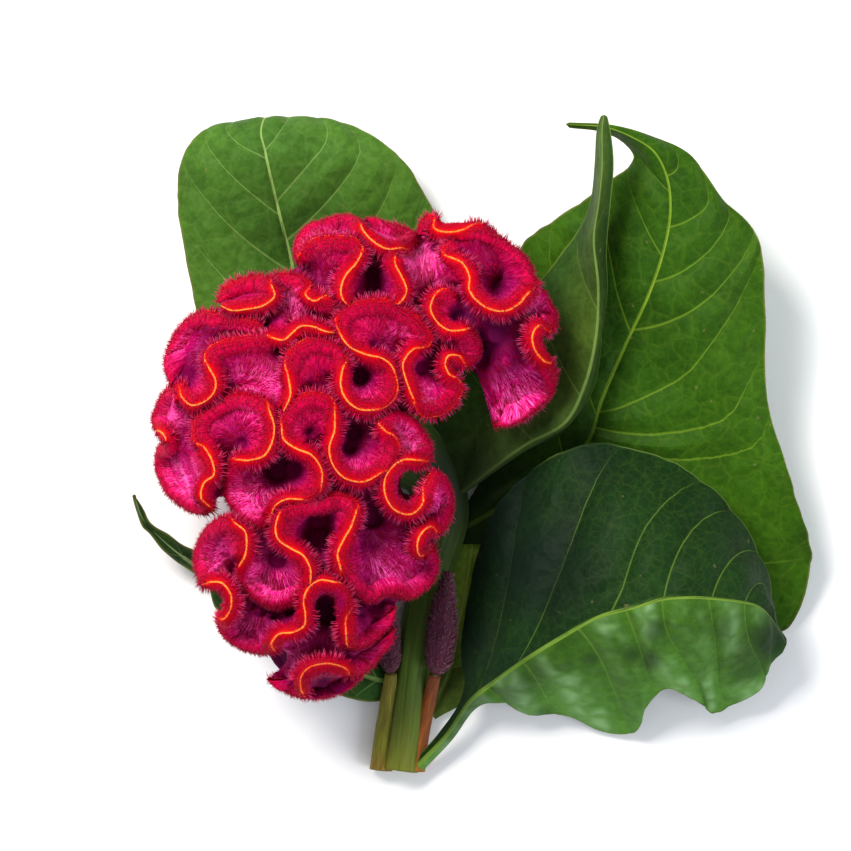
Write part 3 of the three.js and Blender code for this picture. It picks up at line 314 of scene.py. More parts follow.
STEM_SHADE = [[-4, -12, 22, 0.9], [-12, -32, 12, 0.5], [-24, -56, 8, 0.3]]
# Painted shade: dark places between crest lines and under their fringes.
DIM_FOLDS = [
    [-62.6, -56, 5, 0.6], [-46.5, -71, 11, 0.8], [-14.3, -38, 5, 0.5], [-54, -55, 5, 0.5],
    [-41, -51.5, 7, 0.8], [-26, -31, 7, 0.6],
]
# Painted shade on the floors of the lobe's deepest hollows.
SHADED_HOLLOWS = [[5, 32, 7, 0.9], [-3, 39, 4, 0.7], [13, 29, 5, 0.6]]

FANS = [  # [x, y, reach, x and y of the place that the fibres spread from]
    [15, 14, 15, 0.5, 38], [-23, -37.5, 12, -36, -26], [-61.4, -46.5, 11, -62.4, -28],
    [-72, -59, 9, -65, -48], [-47.7, -71, 11, -48.7, -50], [-82, -35.5, 8, -66, -31.5],
    [-50.5, 22.5, 9, -46, 14], [-57, 45, 6, -57.5, 75], [-16.5, 55, 8, -13, 85],
]
BRIDGES = [  # where the comb's inner skin ends between two crests
    [(-1.2, 26.4), (2.5, 17), (6.2, 4)], [(-24.5, -51), (-25, -57.5)], [(-24.5, -51), (-24, -46.5)],
    [(-62.5, -62), (-58.6, -63.9), (-58, -67.6), (-64, -73.5)], [(-54.5, 57.5), (-55.5, 51)],
]


# ---- Meshes ---------------------------------------------------------------------------------


def add_mesh(name, points, faces, material, node, uv, values, vectors=None):
    """A smooth mesh from points in mm; values and vectors are numbers per point for the shaders."""
    mesh = bpy.data.meshes.new(name)
    mesh.from_pydata(np.asarray(points) * MM, [], faces, shade_flat=False)
    for key, numbers in values.items():
        layer = mesh.attributes.new(key, "FLOAT", "POINT")
        layer.data.foreach_set("value", np.float32(numbers).ravel())
    for key, numbers in (vectors or {}).items():
        layer = mesh.attributes.new(key, "FLOAT_VECTOR", "POINT")
        layer.data.foreach_set("vector", np.float32(numbers).ravel())
    layer = mesh.uv_layers.new(name="OFBake")
    layer.data.foreach_set("uv", np.float32(uv).ravel())
    mesh.materials.append(material)
    piece = bpy.data.objects.new(name, mesh)
    bpy.context.scene.collection.objects.link(piece)
    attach(piece, "root")
    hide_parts(node)


def unit(vectors):
    return vectors / np.maximum(np.linalg.norm(vectors, axis=-1, keepdims=True), 1e-9)


def grid_faces(rows, columns):
    """Quads over a rows by columns grid of points."""
    row, column = np.meshgrid(np.arange(rows - 1), np.arange(columns - 1), indexing="ij")
    here = (row * columns + column).ravel()
    return np.stack([here, here + 1, here + 1 + columns, here + columns], axis=1)


def grid_uv(rows, columns, box):
    """The corners of each quad of a grid, laid out in box (left, bottom, right, top) of the UV map."""
    left, bottom, right, top = box
    row, column = np.meshgrid(np.arange(rows - 1), np.arange(columns - 1), indexing="ij")
    row, column = row.ravel(), column.ravel()
    u = left + (right - left) * np.stack([row, row, row + 1, row + 1], axis=1) / (rows - 1)
    v = bottom + (top - bottom) * np.stack([column, column + 1, column + 1, column], axis=1) / (columns - 1)
    return np.stack([u, v], axis=-1)


def sample(grid, row, column):
    """Values of a grid at fractional rows and columns."""
    row0 = np.minimum(row.astype(int), grid.shape[0] - 2)
    column0 = np.minimum(column.astype(int), grid.shape[1] - 2)
    r, c = row - row0, column - column0
    if grid.ndim == 3:
        r, c = r[:, None], c[:, None]
    return ((1 - r) * (1 - c) * grid[row0, column0] + r * (1 - c) * grid[row0 + 1, column0]
            + (1 - r) * c * grid[row0, column0 + 1] + r * c * grid[row0 + 1, column0 + 1])


def surface_normals(points, outward):
    """Normals of a grid of points, each turned to the same side as outward."""
    normal = unit(np.cross(np.gradient(points, axis=0), np.gradient(points, axis=1)))
    flip = np.sign((normal * outward).sum(-1, keepdims=True))
    return normal * np.where(flip == 0, 1, flip)


# ---- Curves and noise -------------------------------------------------------------------------


def ease(value, low, high):
    """A smooth step of value, from 0 at low to 1 at high."""
    share = np.clip((value - low) / (high - low), 0, 1)
    return share * share * (3 - 2 * share)


def catmull_rom(points, share):
    """Points of the centripetal Catmull-Rom curve at shares 0 to 1 of its spans."""
    points = np.asarray(points, float)
    spans = len(points) - 1
    place = np.clip(share, 0, 1) * spans
    first = np.minimum(place.astype(int), spans - 1)
    local = (place - first)[:, None]
    padded = np.vstack([2 * points[0] - points[1], points, 2 * points[-1] - points[-2]])
    before, start, end, after = (padded[first + k] for k in range(4))

    def knot(a, b):
        return np.sqrt(np.maximum(np.linalg.norm(b - a, axis=1), 1e-9))[:, None]

    k0, k1, k2 = knot(before, start), knot(start, end), knot(end, after)
    leave = k1 * ((start - before) / k0 - (end - before) / (k0 + k1) + (end - start) / k1)
    arrive = k1 * ((end - start) / k1 - (after - start) / (k1 + k2) + (after - end) / k2)
    return ((2 * start - 2 * end + leave + arrive) * local ** 3
            + (-3 * start + 3 * end - 2 * leave - arrive) * local ** 2 + leave * local + start)


def evenly(points, pitch):
    """Even steps of about pitch along the curve through points."""
    share = np.linspace(0, 1, len(points) * 30 + 1)
    dense = catmull_rom(points, share)
    length = np.concatenate([[0], np.cumsum(np.linalg.norm(np.diff(dense, axis=0), axis=1))])
    steps = np.linspace(0, length[-1], max(4, round(length[-1] / pitch)) + 1)
    return catmull_rom(points, np.interp(steps, length, share))


def smoothed(row, pitch, length):
    """A row of points with its waves evened out over a length of the row."""
    step = np.arange(len(row)) * pitch
    weight = np.exp(-0.5 * ((step[:, None] - step[None, :]) / length) ** 2)
    return (weight / weight.sum(1, keepdims=True)) @ row


def value_noise(rng, count, step, size):
    """Smooth noise from -1 to 1 along a row of count points that are step apart."""
    knots = rng.uniform(-1, 1, int(count * step / size) + 4)
    place = np.arange(count) * step / size
    first = place.astype(int)
    share = ease(place - first, 0, 1)
    return knots[first] * (1 - share) + knots[first + 1] * share


def spotted(points, spots, least=0.0):
    """A strength over points that falls off round spots, each [x, y, reach, strength]."""
    best = np.full(points.shape[:-1], least)
    for x, y, reach, strength in spots:
        away = ((points[..., 0] - x) ** 2 + (points[..., 1] - y) ** 2) / reach ** 2
        best = np.maximum(best, strength * np.exp(-away ** 1.5))
    return best


# ---- Folds of the comb ------------------------------------------------------------------------

WALL = [  # (share up the fold, half width) from the root to the lip
    (0, 2.2), (0.1, 2.1), (0.2, 2), (0.3, 1.85), (0.4, 1.7), (0.5, 1.65), (0.6, 1.65), (0.69, 1.7),
    (0.77, 1.8), (0.83, 2), (0.88, 2.3), (0.915, 2.6), (0.94, 2.8), (0.96, 2.8), (0.975, 2.55),
    (0.99, 2.05), (1.002, 1.45), (1.012, 0.9), (1.02, 0.5), (1.035, 0.22), (1.04, 0),
]
WALL_COLUMNS = 2 * len(WALL) - 1  # up one wall and down the other
LIP_COLUMN = len(WALL) - 1
WIDEST_CREST = 2.8  # half width of a crest that has room for it
LEAST_WIDTH = 0.35  # share of the half width that is left where there is no room
SAME_PLACE = 8  # square of the distance within which another place is of the same stretch of crest
FREE_ROOM = 20  # radius beyond which a neighbour doesn't count
PLEATS = 0.2  # height of the small pleats that run down the walls
PLEAT_SIZES = (1.6, 4.5)
PLEATED_TO = 0.96  # share up the fold where the pleats end
SCALLOPED_FROM = 0.88  # share up the fold from which the lip waves to and fro
SCALLOP, SCALLOP_SIZE = 0.22, 1.9
END_TAPER = 4  # length over which a crest's ends close
ROOM_SMOOTHING, ROOM_SHARE = 1.6, 0.92
FINE_PLEATS = 0.45  # height of the finer pleats beside the broader ones
ROLL_SMOOTHING = 0.8
ROLLED = 0.9  # a crest line that is moved this far counts as rolled over
ROLLED_OUTER = 0.9  # how far a rolled crest's side counts as outer, 1 being fully
BULGE_SMOOTHING = 7  # bends of a crest shorter than this have an outer side
FULL_BULGE = 1.2  # from such a bend's middle line, where it counts fully
FULL_LEAN = 6  # sideways distance from which a lip leans fully
LEAN, FLARE_LEAN, FLARE_SINK = 0.25, 0.9, 1.05  # how a lip faces when it is plain, and by its flare
ROOT_PULL, LIP_PULL = 0.4, 0.42  # of the Bezier curve's ends, as a share of its reach


def dome_rise(dome, x, y):
    inside = 1 - ((x - dome["centre"][0]) / dome["radii"][0]) ** 2
    inside = inside - ((y - dome["centre"][1]) / dome["radii"][1]) ** 2
    return dome["edge"] + dome["rise"] * np.sqrt(np.maximum(0, inside))


def comb_height(x, y):
    return np.maximum(dome_rise(MAIN_DOME, x, y), dome_rise(LOBE_DOME, x, y))


def nearest_on_spine(spine, points):
    best = points.copy()
    best_distance = np.full(len(points), np.inf)
    for path in spine["paths"]:
        for a, b in zip(np.array(path[:-1], float), np.array(path[1:], float)):
            share = np.clip((points - a) @ (b - a) / ((b - a) @ (b - a)), 0, 1)
            foot = a + share[:, None] * (b - a)
            distance = np.linalg.norm(foot - points, axis=1)
            nearer = distance < best_distance
            best[nearer], best_distance[nearer] = foot[nearer], distance[nearer]
    return best


class Fold:
    """One folded crest: at each step along it, a Bezier curve from its root up to its lip."""

    def __init__(self, controls, spine, rolls):
        roll = np.zeros(len(controls))
        for first, last, amount in rolls:
            roll[first:last + 1] = -amount  # the right-hand side counts as positive here
        rows = [(*control, 0)[:3] + (moved,) for control, moved in zip(controls, roll)]
        crest = evenly(rows, CREST_PITCH)
        flat, flare = crest[:, :2], np.maximum(0, crest[:, 2])
        middle = smoothed(flat, CREST_PITCH, WAVE_SMOOTHING)
        gathered = nearest_on_spine(spine, middle)
        gathered = gathered + ROOT_REACH * (middle - gathered)
        foot = smoothed(gathered, CREST_PITCH, ROOT_SMOOTHING)
        foot_height = np.maximum(spine["floor"], comb_height(middle[:, 0], middle[:, 1]) - FOLD_DEPTH)
        root = np.column_stack([foot, foot_height])
        lip = np.column_stack([flat, comb_height(flat[:, 0], flat[:, 1]) - CREST_DROOP * flare])
        outward = flat - middle + 0.5 * (flat - foot)
        outward /= np.maximum(FULL_LEAN, np.linalg.norm(outward, axis=1))[:, None]
        lean = (LEAN + FLARE_LEAN * flare)[:, None]
        facing = unit(np.column_stack([lean * outward, 1 - FLARE_SINK * flare]))
        reach = np.linalg.norm(root - lip, axis=1)[:, None]
        above_root = root + np.array([0, 0, ROOT_PULL]) * reach
        self.curve = [root, above_root, lip - LIP_PULL * reach * facing, lip]
        self.flat, self.lip = flat, lip
        self.count = len(crest)
        self.along = np.arange(self.count) * CREST_PITCH
        ahead = unit(np.gradient(flat, axis=0))
        self.right = np.stack([ahead[:, 1], -ahead[:, 0]], axis=1)
        self.roll = smoothed(crest[:, 3], CREST_PITCH, ROLL_SMOOTHING)
        bulge = flat - smoothed(flat, CREST_PITCH, BULGE_SMOOTHING)
        bend = (self.right * bulge).sum(1) / FULL_BULGE
        rolled = np.abs(self.roll) > ROLLED
        self.outer = np.clip(np.where(rolled, ROLLED_OUTER * np.sign(self.roll), bend), -1, 1)

    def at(self, share):
        """Points at a share up the fold, 0 at the root and 1 at the lip."""
        a, b, c, d = self.curve
        s = share
        if s > 1:
            return d + (s - 1) * (d - c)
        return (1 - s) ** 3 * a + 3 * s * (1 - s) ** 2 * b + 3 * s * s * (1 - s) * c + s ** 3 * d

    def rise(self, share):
        """The way up the fold at a share up it."""
        a, b, c, d = self.curve
        s = min(share, 1)
        return 3 * ((1 - s) ** 2 * (b - a) + 2 * s * (1 - s) * (c - b) + s * s * (d - c))

    def across(self, share):
        """The direction square to the fold's middle surface."""
        points = self.at(share)
        ahead = np.minimum(np.arange(self.count) + 3, self.count - 1)
        behind = np.maximum(np.arange(self.count) - 3, 0)
        return unit(np.cross(points[ahead] - points[behind], self.rise(share)))


def room_beside(flat, sideways, others):
    """Radius of the largest circle beside each place that holds no other place of a crest."""
    reach = others[None, :, :] - flat[:, None, :]
    toward = (reach * sideways[:, None, :]).sum(-1)
    square = (reach ** 2).sum(-1)
    counts = (toward > 0.05) & (square > SAME_PLACE)
    radius = np.where(counts, square / (2 * np.maximum(toward, 0.05)), np.inf)
    return np.minimum(radius.min(1), FREE_ROOM)


def side_of_fold(fold, side, crests, closing, scallop, rng):
    """Rows of points from the root to the lip, on one side of a fold."""
    room = room_beside(fold.flat, side * fold.right, crests)
    room = smoothed(room, CREST_PITCH, ROOM_SMOOTHING)
    narrowing = np.clip(ROOM_SHARE * room / WIDEST_CREST, LEAST_WIDTH, 1)
    fine, broad = (value_noise(rng, fold.count, CREST_PITCH, size) for size in PLEAT_SIZES)
    rows = []
    for share, half_width in WALL:
        window = math.sin(math.pi * share / PLEATED_TO) ** 0.6 if share < PLEATED_TO else 0
        width = half_width * narrowing + PLEATS * window * (FINE_PLEATS * fine + broad)
        if SCALLOPED_FROM < share < 1:
            width = width + SCALLOP * scallop * side
        rows.append(fold.at(share) + fold.across(share) * (side * width * closing)[:, None])
    return rows


def fold_surface(fold, crests, rng):
    """Grid of points over both walls, how far each is below the crest line, and its side."""
    end = np.minimum(fold.along, fold.along[-1] - fold.along) / END_TAPER
    closing = np.sqrt(1 - (1 - np.clip(end, 0.02, 1)) ** 2)
    scallop = value_noise(rng, fold.count, CREST_PITCH, SCALLOP_SIZE)
    near = side_of_fold(fold, 1, crests, closing, scallop, rng)
    far = side_of_fold(fold, -1, crests, closing, scallop, rng)
    points = np.stack(near + far[-2::-1], axis=1)
    steps = np.linalg.norm(np.diff(points, axis=1), axis=2)
    down = np.zeros(points.shape[:2])
    down[:, LIP_COLUMN + 1:] = np.cumsum(steps[:, LIP_COLUMN:], axis=1)
    down[:, :LIP_COLUMN] = np.cumsum(steps[:, :LIP_COLUMN][:, ::-1], axis=1)[:, ::-1]
    side = np.where(np.arange(WALL_COLUMNS) <= LIP_COLUMN, 1.0, -1.0)
    return points, down, np.broadcast_to(side, down.shape)


# ---- Bowls between the folds ------------------------------------------------------------------

BOWL_PITCH = 0.4  # size of the cells of the bowls' grid
BOWL_REGION = (-104, -84, 32, 74)  # left, bottom, right, top
BOWL_ROUNDS = 1500  # of evening out the skin between what holds it
BRIM = [  # (distance beside the crest line, height above it) where the skin meets the folds
    (3, -1), (2.6, -0.6), (2.2, -0.25), (1.8, 0), (1.4, 0), (1, -0.2), (0.6, -1), (0.2, -1),
]
CLIFF_DROP = 9  # from a crest line to the bowl that starts below its outer side
LEDGE_DROP = 3  # the same close to the crest line
COMB_EDGE_DROP = 16  # from the dome down to the skin's outer edge
SLACK = 7  # from the dome down to the skin before it is evened out
CREST_CELLS = 5  # no hollow starts this near to a crest line
BARRIER_CELLS = 6  # half width of the crests as seen from outside the comb
FLOOD_CELLS = 4  # steps a round from the outside inwards, too few to cross a crest
FIBRE_STRIDE = 0.35
FIBRE_STEPS = 12
FOOT_STEPS = 70


def bowl_grid():
    left, bottom, right, top = BOWL_REGION
    x = np.arange(left, right, BOWL_PITCH)
    y = np.arange(bottom, top, BOWL_PITCH)
    return np.meshgrid(x, y, indexing="ij")


def cells_of(places):
    column = np.round((places[:, 0] - BOWL_REGION[0]) / BOWL_PITCH).astype(int)
    row = np.round((places[:, 1] - BOWL_REGION[1]) / BOWL_PITCH).astype(int)
    return column, row


def at_places(grid, x, y):
    """Values of a grid over the bowls' region at places in mm."""
    column = np.clip((x - BOWL_REGION[0]) / BOWL_PITCH, 0, grid.shape[0] - 1.001)
    row = np.clip((y - BOWL_REGION[1]) / BOWL_PITCH, 0, grid.shape[1] - 1.001)
    return sample(grid, column, row)


def grown(mask, steps):
    """A mask spread by so many cells every way."""
    for _ in range(steps):
        wide = mask.copy()
        wide[1:] |= mask[:-1]
        wide[:-1] |= mask[1:]
        wide[:, 1:] |= mask[:, :-1]
        wide[:, :-1] |= mask[:, 1:]
        mask = wide
    return mask


def around(grid):
    """The sum of the four neighbours of each inner cell."""
    return grid[2:, 1:-1] + grid[:-2, 1:-1] + grid[1:-1, 2:] + grid[1:-1, :-2]


def softened(grid, rounds):
    for _ in range(rounds):
        soft = grid.copy()
        soft[1:-1, 1:-1] = 0.5 * grid[1:-1, 1:-1] + 0.125 * around(grid)
        grid = soft
    return grid


def stretched(grid, fixed):
    """A grid evened out like a skin between its fixed cells."""
    held = grid[fixed]
    for _ in range(BOWL_ROUNDS):
        grid[1:-1, 1:-1] = 0.25 * around(grid)
        grid[fixed] = held
    return grid


def inside_comb(crest_cells):
    """The cells that can't be reached from outside the comb without crossing a crest."""
    barrier = crest_cells.copy()
    for bridge in BRIDGES:
        barrier[cells_of(evenly(bridge, 0.5 * BOWL_PITCH))] = True
    barrier = grown(barrier, BARRIER_CELLS)
    outside = np.zeros_like(barrier)
    outside[0], outside[-1], outside[:, 0], outside[:, -1] = True, True, True, True
    while True:
        reached = outside | grown(outside, FLOOD_CELLS) & ~barrier
        if (reached == outside).all():
            return ~grown(outside, BARRIER_CELLS)
        outside = reached


def crest_table(folds):
    """Each half step of all crests: its lip, its right-hand side, and which side is its outer one."""
    rows = []
    for fold in folds:
        half_steps = np.arange(2 * fold.count - 1) / 2
        columns = np.column_stack([fold.lip, fold.right, fold.outer]).T
        rows += zip(*(np.interp(half_steps, np.arange(fold.count), column) for column in columns))
    return np.array(rows)


def bowl_heights(folds):
    """Heights of a skin stretched between the crests and pulled down into the hollows, and how far
    each place is on the way from a hollow to a crest, 0 to 1."""
    x, y = bowl_grid()
    dome = comb_height(x, y)
    way = np.full(x.shape, 0.8)
    height = dome - COMB_EDGE_DROP
    fixed = np.zeros(x.shape, bool)
    crest = crest_table(folds)
    crest_cells = np.zeros(x.shape, bool)
    crest_cells[cells_of(crest[:, :2])] = True
    for offset, brim in BRIM:
        for side in (1, -1):
            outer = ease(side * crest[:, 5], -0.1, 0.6)
            drop = CLIFF_DROP if offset > 1.5 else LEDGE_DROP
            cells = cells_of(crest[:, :2] + side * offset * crest[:, 3:5])
            height[cells] = crest[:, 2] + brim * (1 - outer) - drop * outer
            fixed[cells] = True
            way[cells] = 1
    for spots, starts_fibres in ((HOLLOWS, True), (DENTS, False)):
        for spot_x, spot_y, radius, depth in spots:
            near = np.hypot(x - spot_x, y - spot_y) < max(radius, 0.6 * BOWL_PITCH)
            near &= ~grown(crest_cells, CREST_CELLS)
            height[near] = (dome - depth)[near]
            fixed |= near
            if starts_fibres:
                way[near] = 0
    inside = inside_comb(crest_cells)
    fixed |= ~inside
    height[~fixed] = (dome - SLACK)[~fixed]
    return x, y, stretched(height, fixed), stretched(way, fixed), inside


def drawn_out(noise, x, y, slope_x, slope_y):
    """Noise smeared along the fall of the bowls, so that it reads as fibres."""
    total = noise.copy()
    for stride in (FIBRE_STRIDE, -FIBRE_STRIDE):
        place_x, place_y = x.copy(), y.copy()
        for _ in range(FIBRE_STEPS):
            place_x = place_x + stride * at_places(slope_x, place_x, place_y)
            place_y = place_y + stride * at_places(slope_y, place_x, place_y)
            total += at_places(noise, place_x, place_y)
    return total / (2 * FIBRE_STEPS + 1)


def fibre_feet(x, y, way, slope_x, slope_y):
    """Where the fibre through each place starts, just outside the hollow that it rises from."""
    place_x, place_y = x.copy(), y.copy()
    for _ in range(FOOT_STEPS):
        step = FIBRE_STRIDE * ease(at_places(way, place_x, place_y), 0.3, 0.36)
        place_x, place_y = (place_x - step * at_places(slope_x, place_x, place_y),
                            place_y - step * at_places(slope_y, place_x, place_y))
    return place_x, place_y


# ---- The comb: folds, hairs, bowls and heart --------------------------------------------------

FOLDS = [  # the crest of each fold, the spine that it stands on and where it is rolled over
    (LONG_CREST, MAIN_SPINE, LONG_ROLLS), (MIDDLE_CREST, MAIN_SPINE, MIDDLE_ROLLS),
    (LEFT_REAR_CREST, MAIN_SPINE, [(0, 9, 3)]), (CUP_CREST, MAIN_SPINE, [(6, 10, -3)]),
    (NOOK_CREST, MAIN_SPINE, [(0, 3, 3), (6, 7, 2.5)]),
    (REAR_CREST, MAIN_SPINE, [(6, 9, -3), (11, 16, 3), (22, 27, -3)]),
    (HOLLOW_CREST, MAIN_SPINE, [(5, 6, -2)]), (FOOT_CREST, MAIN_SPINE, [(0, 2, -3), (9, 13, -3)]),
    (FOOT_UNDER_CREST, MAIN_SPINE, [(0, 4, -3)]),
    (LOBE_CREST, LOBE_SPINE, [(0, 2, 3), (6, 11, 3), (21, 22, 2.5)]),
    (LOBE_EDGE_CREST, LOBE_SPINE, [(0, 4, 3), (9, 15, 3)]),
]
STRIPS = 5  # the crests are laid out in this many strips of the UV map
LEAST_SHEEN = 0.08
STREAK_SIZE = 0.7
STREAK_LENGTH = 14  # from the crest line down, where one set of streaks gives way to another
DARK_DOWN, DIM_DOWN = 22, 14  # painted shade: the shader shows dark and dim spots as if they lay so much deeper
HEART_DOWN = 30.0

RUN_PITCH = (2.6, 0.3)  # scale of the fine threads along a crest and down its walls
RUN_STEP = 9.7  # gives each fold threads of its own
RUN_AT_FEET = 7  # scale of the threads that fan out from the hollows

HAIRS = {  # how many on a mm of crest, how many points of WALL below the lip, and the half width
    "fringe": dict(per_mm=12, below_lip=(4, 8.5), width=0.2),
    "stubble": dict(per_mm=30, below_lip=(0.5, 9), width=0.1),
    "silk_sheen": dict(per_mm=16, below_lip=(8, 17), width=0.1),
}
TONES = 32  # hairs come in this many tones and shades, each pair a column of the UV map
SHADES = 8
HAIR_CLEARANCE = 0.1

FIBRES_PER_MM2 = 3.4
FIBRE_WIDTH = 0.085
FIBRE_RELIEF = 0.1
FIBRE_CONTRAST = 3.2
CREST_ROOM = 2.6  # no fibres lie this near to a crest line
STEEPEST, DEEPEST = 6, 22  # nor where the skin is steeper or deeper than this
WAY_WEIGHT = 10  # how far the fibres heed the way out of a hollow, beside the skin's own rise
DOWN_PER_SUNK, MOST_DOWN = 1.9, 18  # depth in the shader for each mm below the dome, and its limit

HEART_SHARE = 0.9  # of its radii, so that each swelling stays inside the folds
HEART_GRID = (18, 72)
PLEAT_DEPTH = 0.05


def add_hairs(name, roots, directions, lengths, widths, rng, material, node, pale):
    """Straight three-sided hairs; pale is how light each one's tip is."""
    count = len(roots)
    directions = unit(directions)
    side = unit(np.cross(directions, np.array([0.3, 0.2, 1.0])))
    other = np.cross(directions, side)
    widths = np.broadcast_to(widths, count)[:, None]
    corners = []
    for k in range(3):
        angle = 2 * math.pi * k / 3
        corners.append(roots + widths * (math.cos(angle) * side + math.sin(angle) * other))
    corners.append(roots + directions * lengths[:, None])
    points = np.stack(corners, axis=1).reshape(-1, 3)
    points[:, 2] = np.maximum(points[:, 2], HAIR_CLEARANCE)
    start = 4 * np.arange(count)[:, None, None]
    faces = (start + np.array([[0, 1, 3], [1, 2, 3], [2, 0, 3]])).reshape(-1, 3)
    tone = rng.integers(0, TONES, count)
    shade = np.round(np.clip(pale, 0, 1) * (SHADES - 1))
    u = ((shade * TONES + tone + 0.5) / (SHADES * TONES))[:, None, None] * np.ones((1, 3, 3))
    v = np.array([0.02, 0.02, 0.98]) * np.ones((count, 3, 1))
    add_mesh(name, points, faces, material, node, np.stack([u, v], axis=-1), values=dict(
        tip=np.tile([0, 0, 0, 1], count), tone=np.repeat(tone / TONES, 4),
        pale=np.repeat(shade / (SHADES - 1), 4),
    ))


def mirrored(rows, sign=1):
    """Directions on one wall of a fold, given on both; sign -1 turns them round on the other."""
    return np.concatenate([rows, sign * rows[:, -2::-1]], axis=1)


def strip_uv(laid, rows, strip_rows):
    """UV of a fold's faces. The folds lie end to end in the strips; laid counts the rows so far."""
    strip, place = np.divmod(laid + np.arange(rows - 1), strip_rows)
    faces = WALL_COLUMNS - 1
    column = np.arange(faces)
    u0, u1 = (np.repeat(place + k, faces) / strip_rows for k in (0, 1))
    low = np.repeat(strip / STRIPS, faces)
    v0, v1 = (low + np.tile(0.01 + 0.98 * (column + k) / faces, rows - 1) / STRIPS for k in (0, 1))
    return np.stack([np.stack([u0, u0, u1, u1], 1), np.stack([v0, v1, v1, v0], 1)], axis=-1)


def fold_values(fold, points, down, side, run_start, rng):
    """What the shader reads at each point of a fold."""
    # Painted shade in the dim spots darkens the walls and takes the sheen away.
    dim = spotted(points, DIM_FOLDS)
    # Painted sheen highlight, fading out near the crest line and far down the wall.
    silk_sheen = spotted(points, SHEEN_SPOTS, LEAST_SHEEN) * ease(down, CREST_ROOM, 5.5) * ease(down, 32, 12)
    # the third noise isn't shown, but every later draw depends on it
    streaks = [value_noise(rng, fold.count, CREST_PITCH, STREAK_SIZE) for _ in range(3)]
    high, low = (0.5 + 0.5 * streak[:, None] for streak in streaks[:2])
    upper = ease(down, STREAK_LENGTH, 0)
    along = np.broadcast_to(fold.along[:, None], down.shape)
    return dict(
        down=down + DIM_DOWN * dim, line=np.abs(side * down - fold.roll[:, None]),
        silk_sheen=np.minimum(silk_sheen, 1) * (1 - dim), streak=high * upper + low * (1 - upper),
        run=np.stack([RUN_PITCH[0] * along, RUN_PITCH[1] * down, 0 * down + run_start], axis=-1),
    )


class HairBed:
    """Random places on both walls of a fold, from which one kind of hairs grows."""

    def __init__(self, fold, kind, rng):
        self.count = int(HAIRS[kind]["per_mm"] * fold.along[-1])
        self.row = rng.uniform(0, fold.count - 1.001, self.count)
        wall = rng.choice([1, -1], self.count)
        self.column = LIP_COLUMN - wall * rng.uniform(*HAIRS[kind]["below_lip"], self.count)
        self.outer = wall * np.interp(self.row, np.arange(fold.count), fold.outer)

    def of(self, grid):
        return sample(grid, self.row, self.column)


def fold_hairs(fold, points, side, silk_sheen, rng):
    """Roots, directions, lengths and paleness of a fold's fringe, stubble and silky fibres."""
    outward = mirrored(np.stack([fold.across(share) for share, _ in WALL], axis=1), -1)
    rise = mirrored(unit(np.stack([fold.rise(share) for share, _ in WALL], axis=1)))
    normal = surface_normals(points, outward)
    uphill = unit(np.gradient(points, axis=1) * side[..., None])

    bed = HairBed(fold, "fringe", rng)
    keep = rng.uniform(0, 1, bed.count) < 0.3 + 0.8 * bed.outer
    direction = (bed.of(outward) + 0.5 * bed.of(normal) + 0.2 * bed.of(rise)
                 + 0.25 * rng.normal(size=(bed.count, 3)))
    length = (1.3 + 1.3 * np.clip(bed.outer + 0.1, 0, 1)) * rng.uniform(0.6, 1.15, bed.count)
    pale = 0.16 + 0.38 * bed.outer + 0.28 * rng.normal(size=bed.count)
    fringe = [part[keep] for part in (bed.of(points), direction, length, pale)]

    bed = HairBed(fold, "stubble", rng)
    rolled = np.abs(bed.outer) > 0.88
    direction = (bed.of(normal) + 0.25 * bed.of(outward) * bed.outer[:, None]
                 + 0.3 * rng.normal(size=(bed.count, 3)))
    length = (0.5 + 0.75 * rolled) * rng.uniform(0.5, 1.3, bed.count)
    stubble = [bed.of(points), direction, length, 0.18 * rolled + 0.1 * rng.normal(size=bed.count)]

    bed = HairBed(fold, "silk_sheen", rng)
    # The silky hairs grow denser, longer and paler under the painted sheen highlight.
    shine = bed.of(silk_sheen)
    keep = rng.uniform(0, 1, bed.count) < 0.3 + shine
    direction = bed.of(uphill) + 0.3 * bed.of(normal) + 0.13 * rng.normal(size=(bed.count, 3))
    length = (1.4 + 1.6 * shine) * rng.uniform(0.6, 1.2, bed.count)
    pale = 0.65 * shine + 0.18 * rng.normal(size=bed.count)
    return dict(fringe=fringe, stubble=stubble,
                silk_sheen=[part[keep] for part in (bed.of(points), direction, length, pale)])


def build_comb(folds, wall_material, hair_material):
    """The walls of all folds as one piece, and each kind of hair as another."""
    rng = np.random.default_rng(SEED)
    crests = np.concatenate([fold.flat for fold in folds])
    strip_rows = math.ceil(sum(fold.count + 2 for fold in folds) / STRIPS) + 1
    grids, faces, uv, hairs = [], [], [], []
    offset = laid = 0
    for index, fold in enumerate(folds):
        points, down, side = fold_surface(fold, crests, rng)
        values = fold_values(fold, points, down, side, RUN_STEP * index, rng)
        grids.append(dict(values, points=points))
        faces.append(grid_faces(fold.count, WALL_COLUMNS) + offset)
        uv.append(strip_uv(laid, fold.count, strip_rows))
        hairs.append(fold_hairs(fold, points, side, values["silk_sheen"], rng))
        offset += fold.count * WALL_COLUMNS
        laid += fold.count + 2
    whole = {key: np.concatenate([grid[key] for grid in grids]) for key in grids[0]}
    add_mesh("comb_folds", whole["points"].reshape(-1, 3), np.concatenate(faces), wall_material, "comb",
             np.concatenate(uv), values={key: whole[key] for key in ("down", "line", "silk_sheen", "streak")},
             vectors=dict(run=whole["run"]))
    for kind, form in HAIRS.items():
        rows = zip(*(fold[kind] for fold in hairs))
        root, direction, length, pale = (np.concatenate(column) for column in rows)
        add_hairs("comb_" + kind, root, direction, length, form["width"], rng, hair_material, "comb",
                  pale)


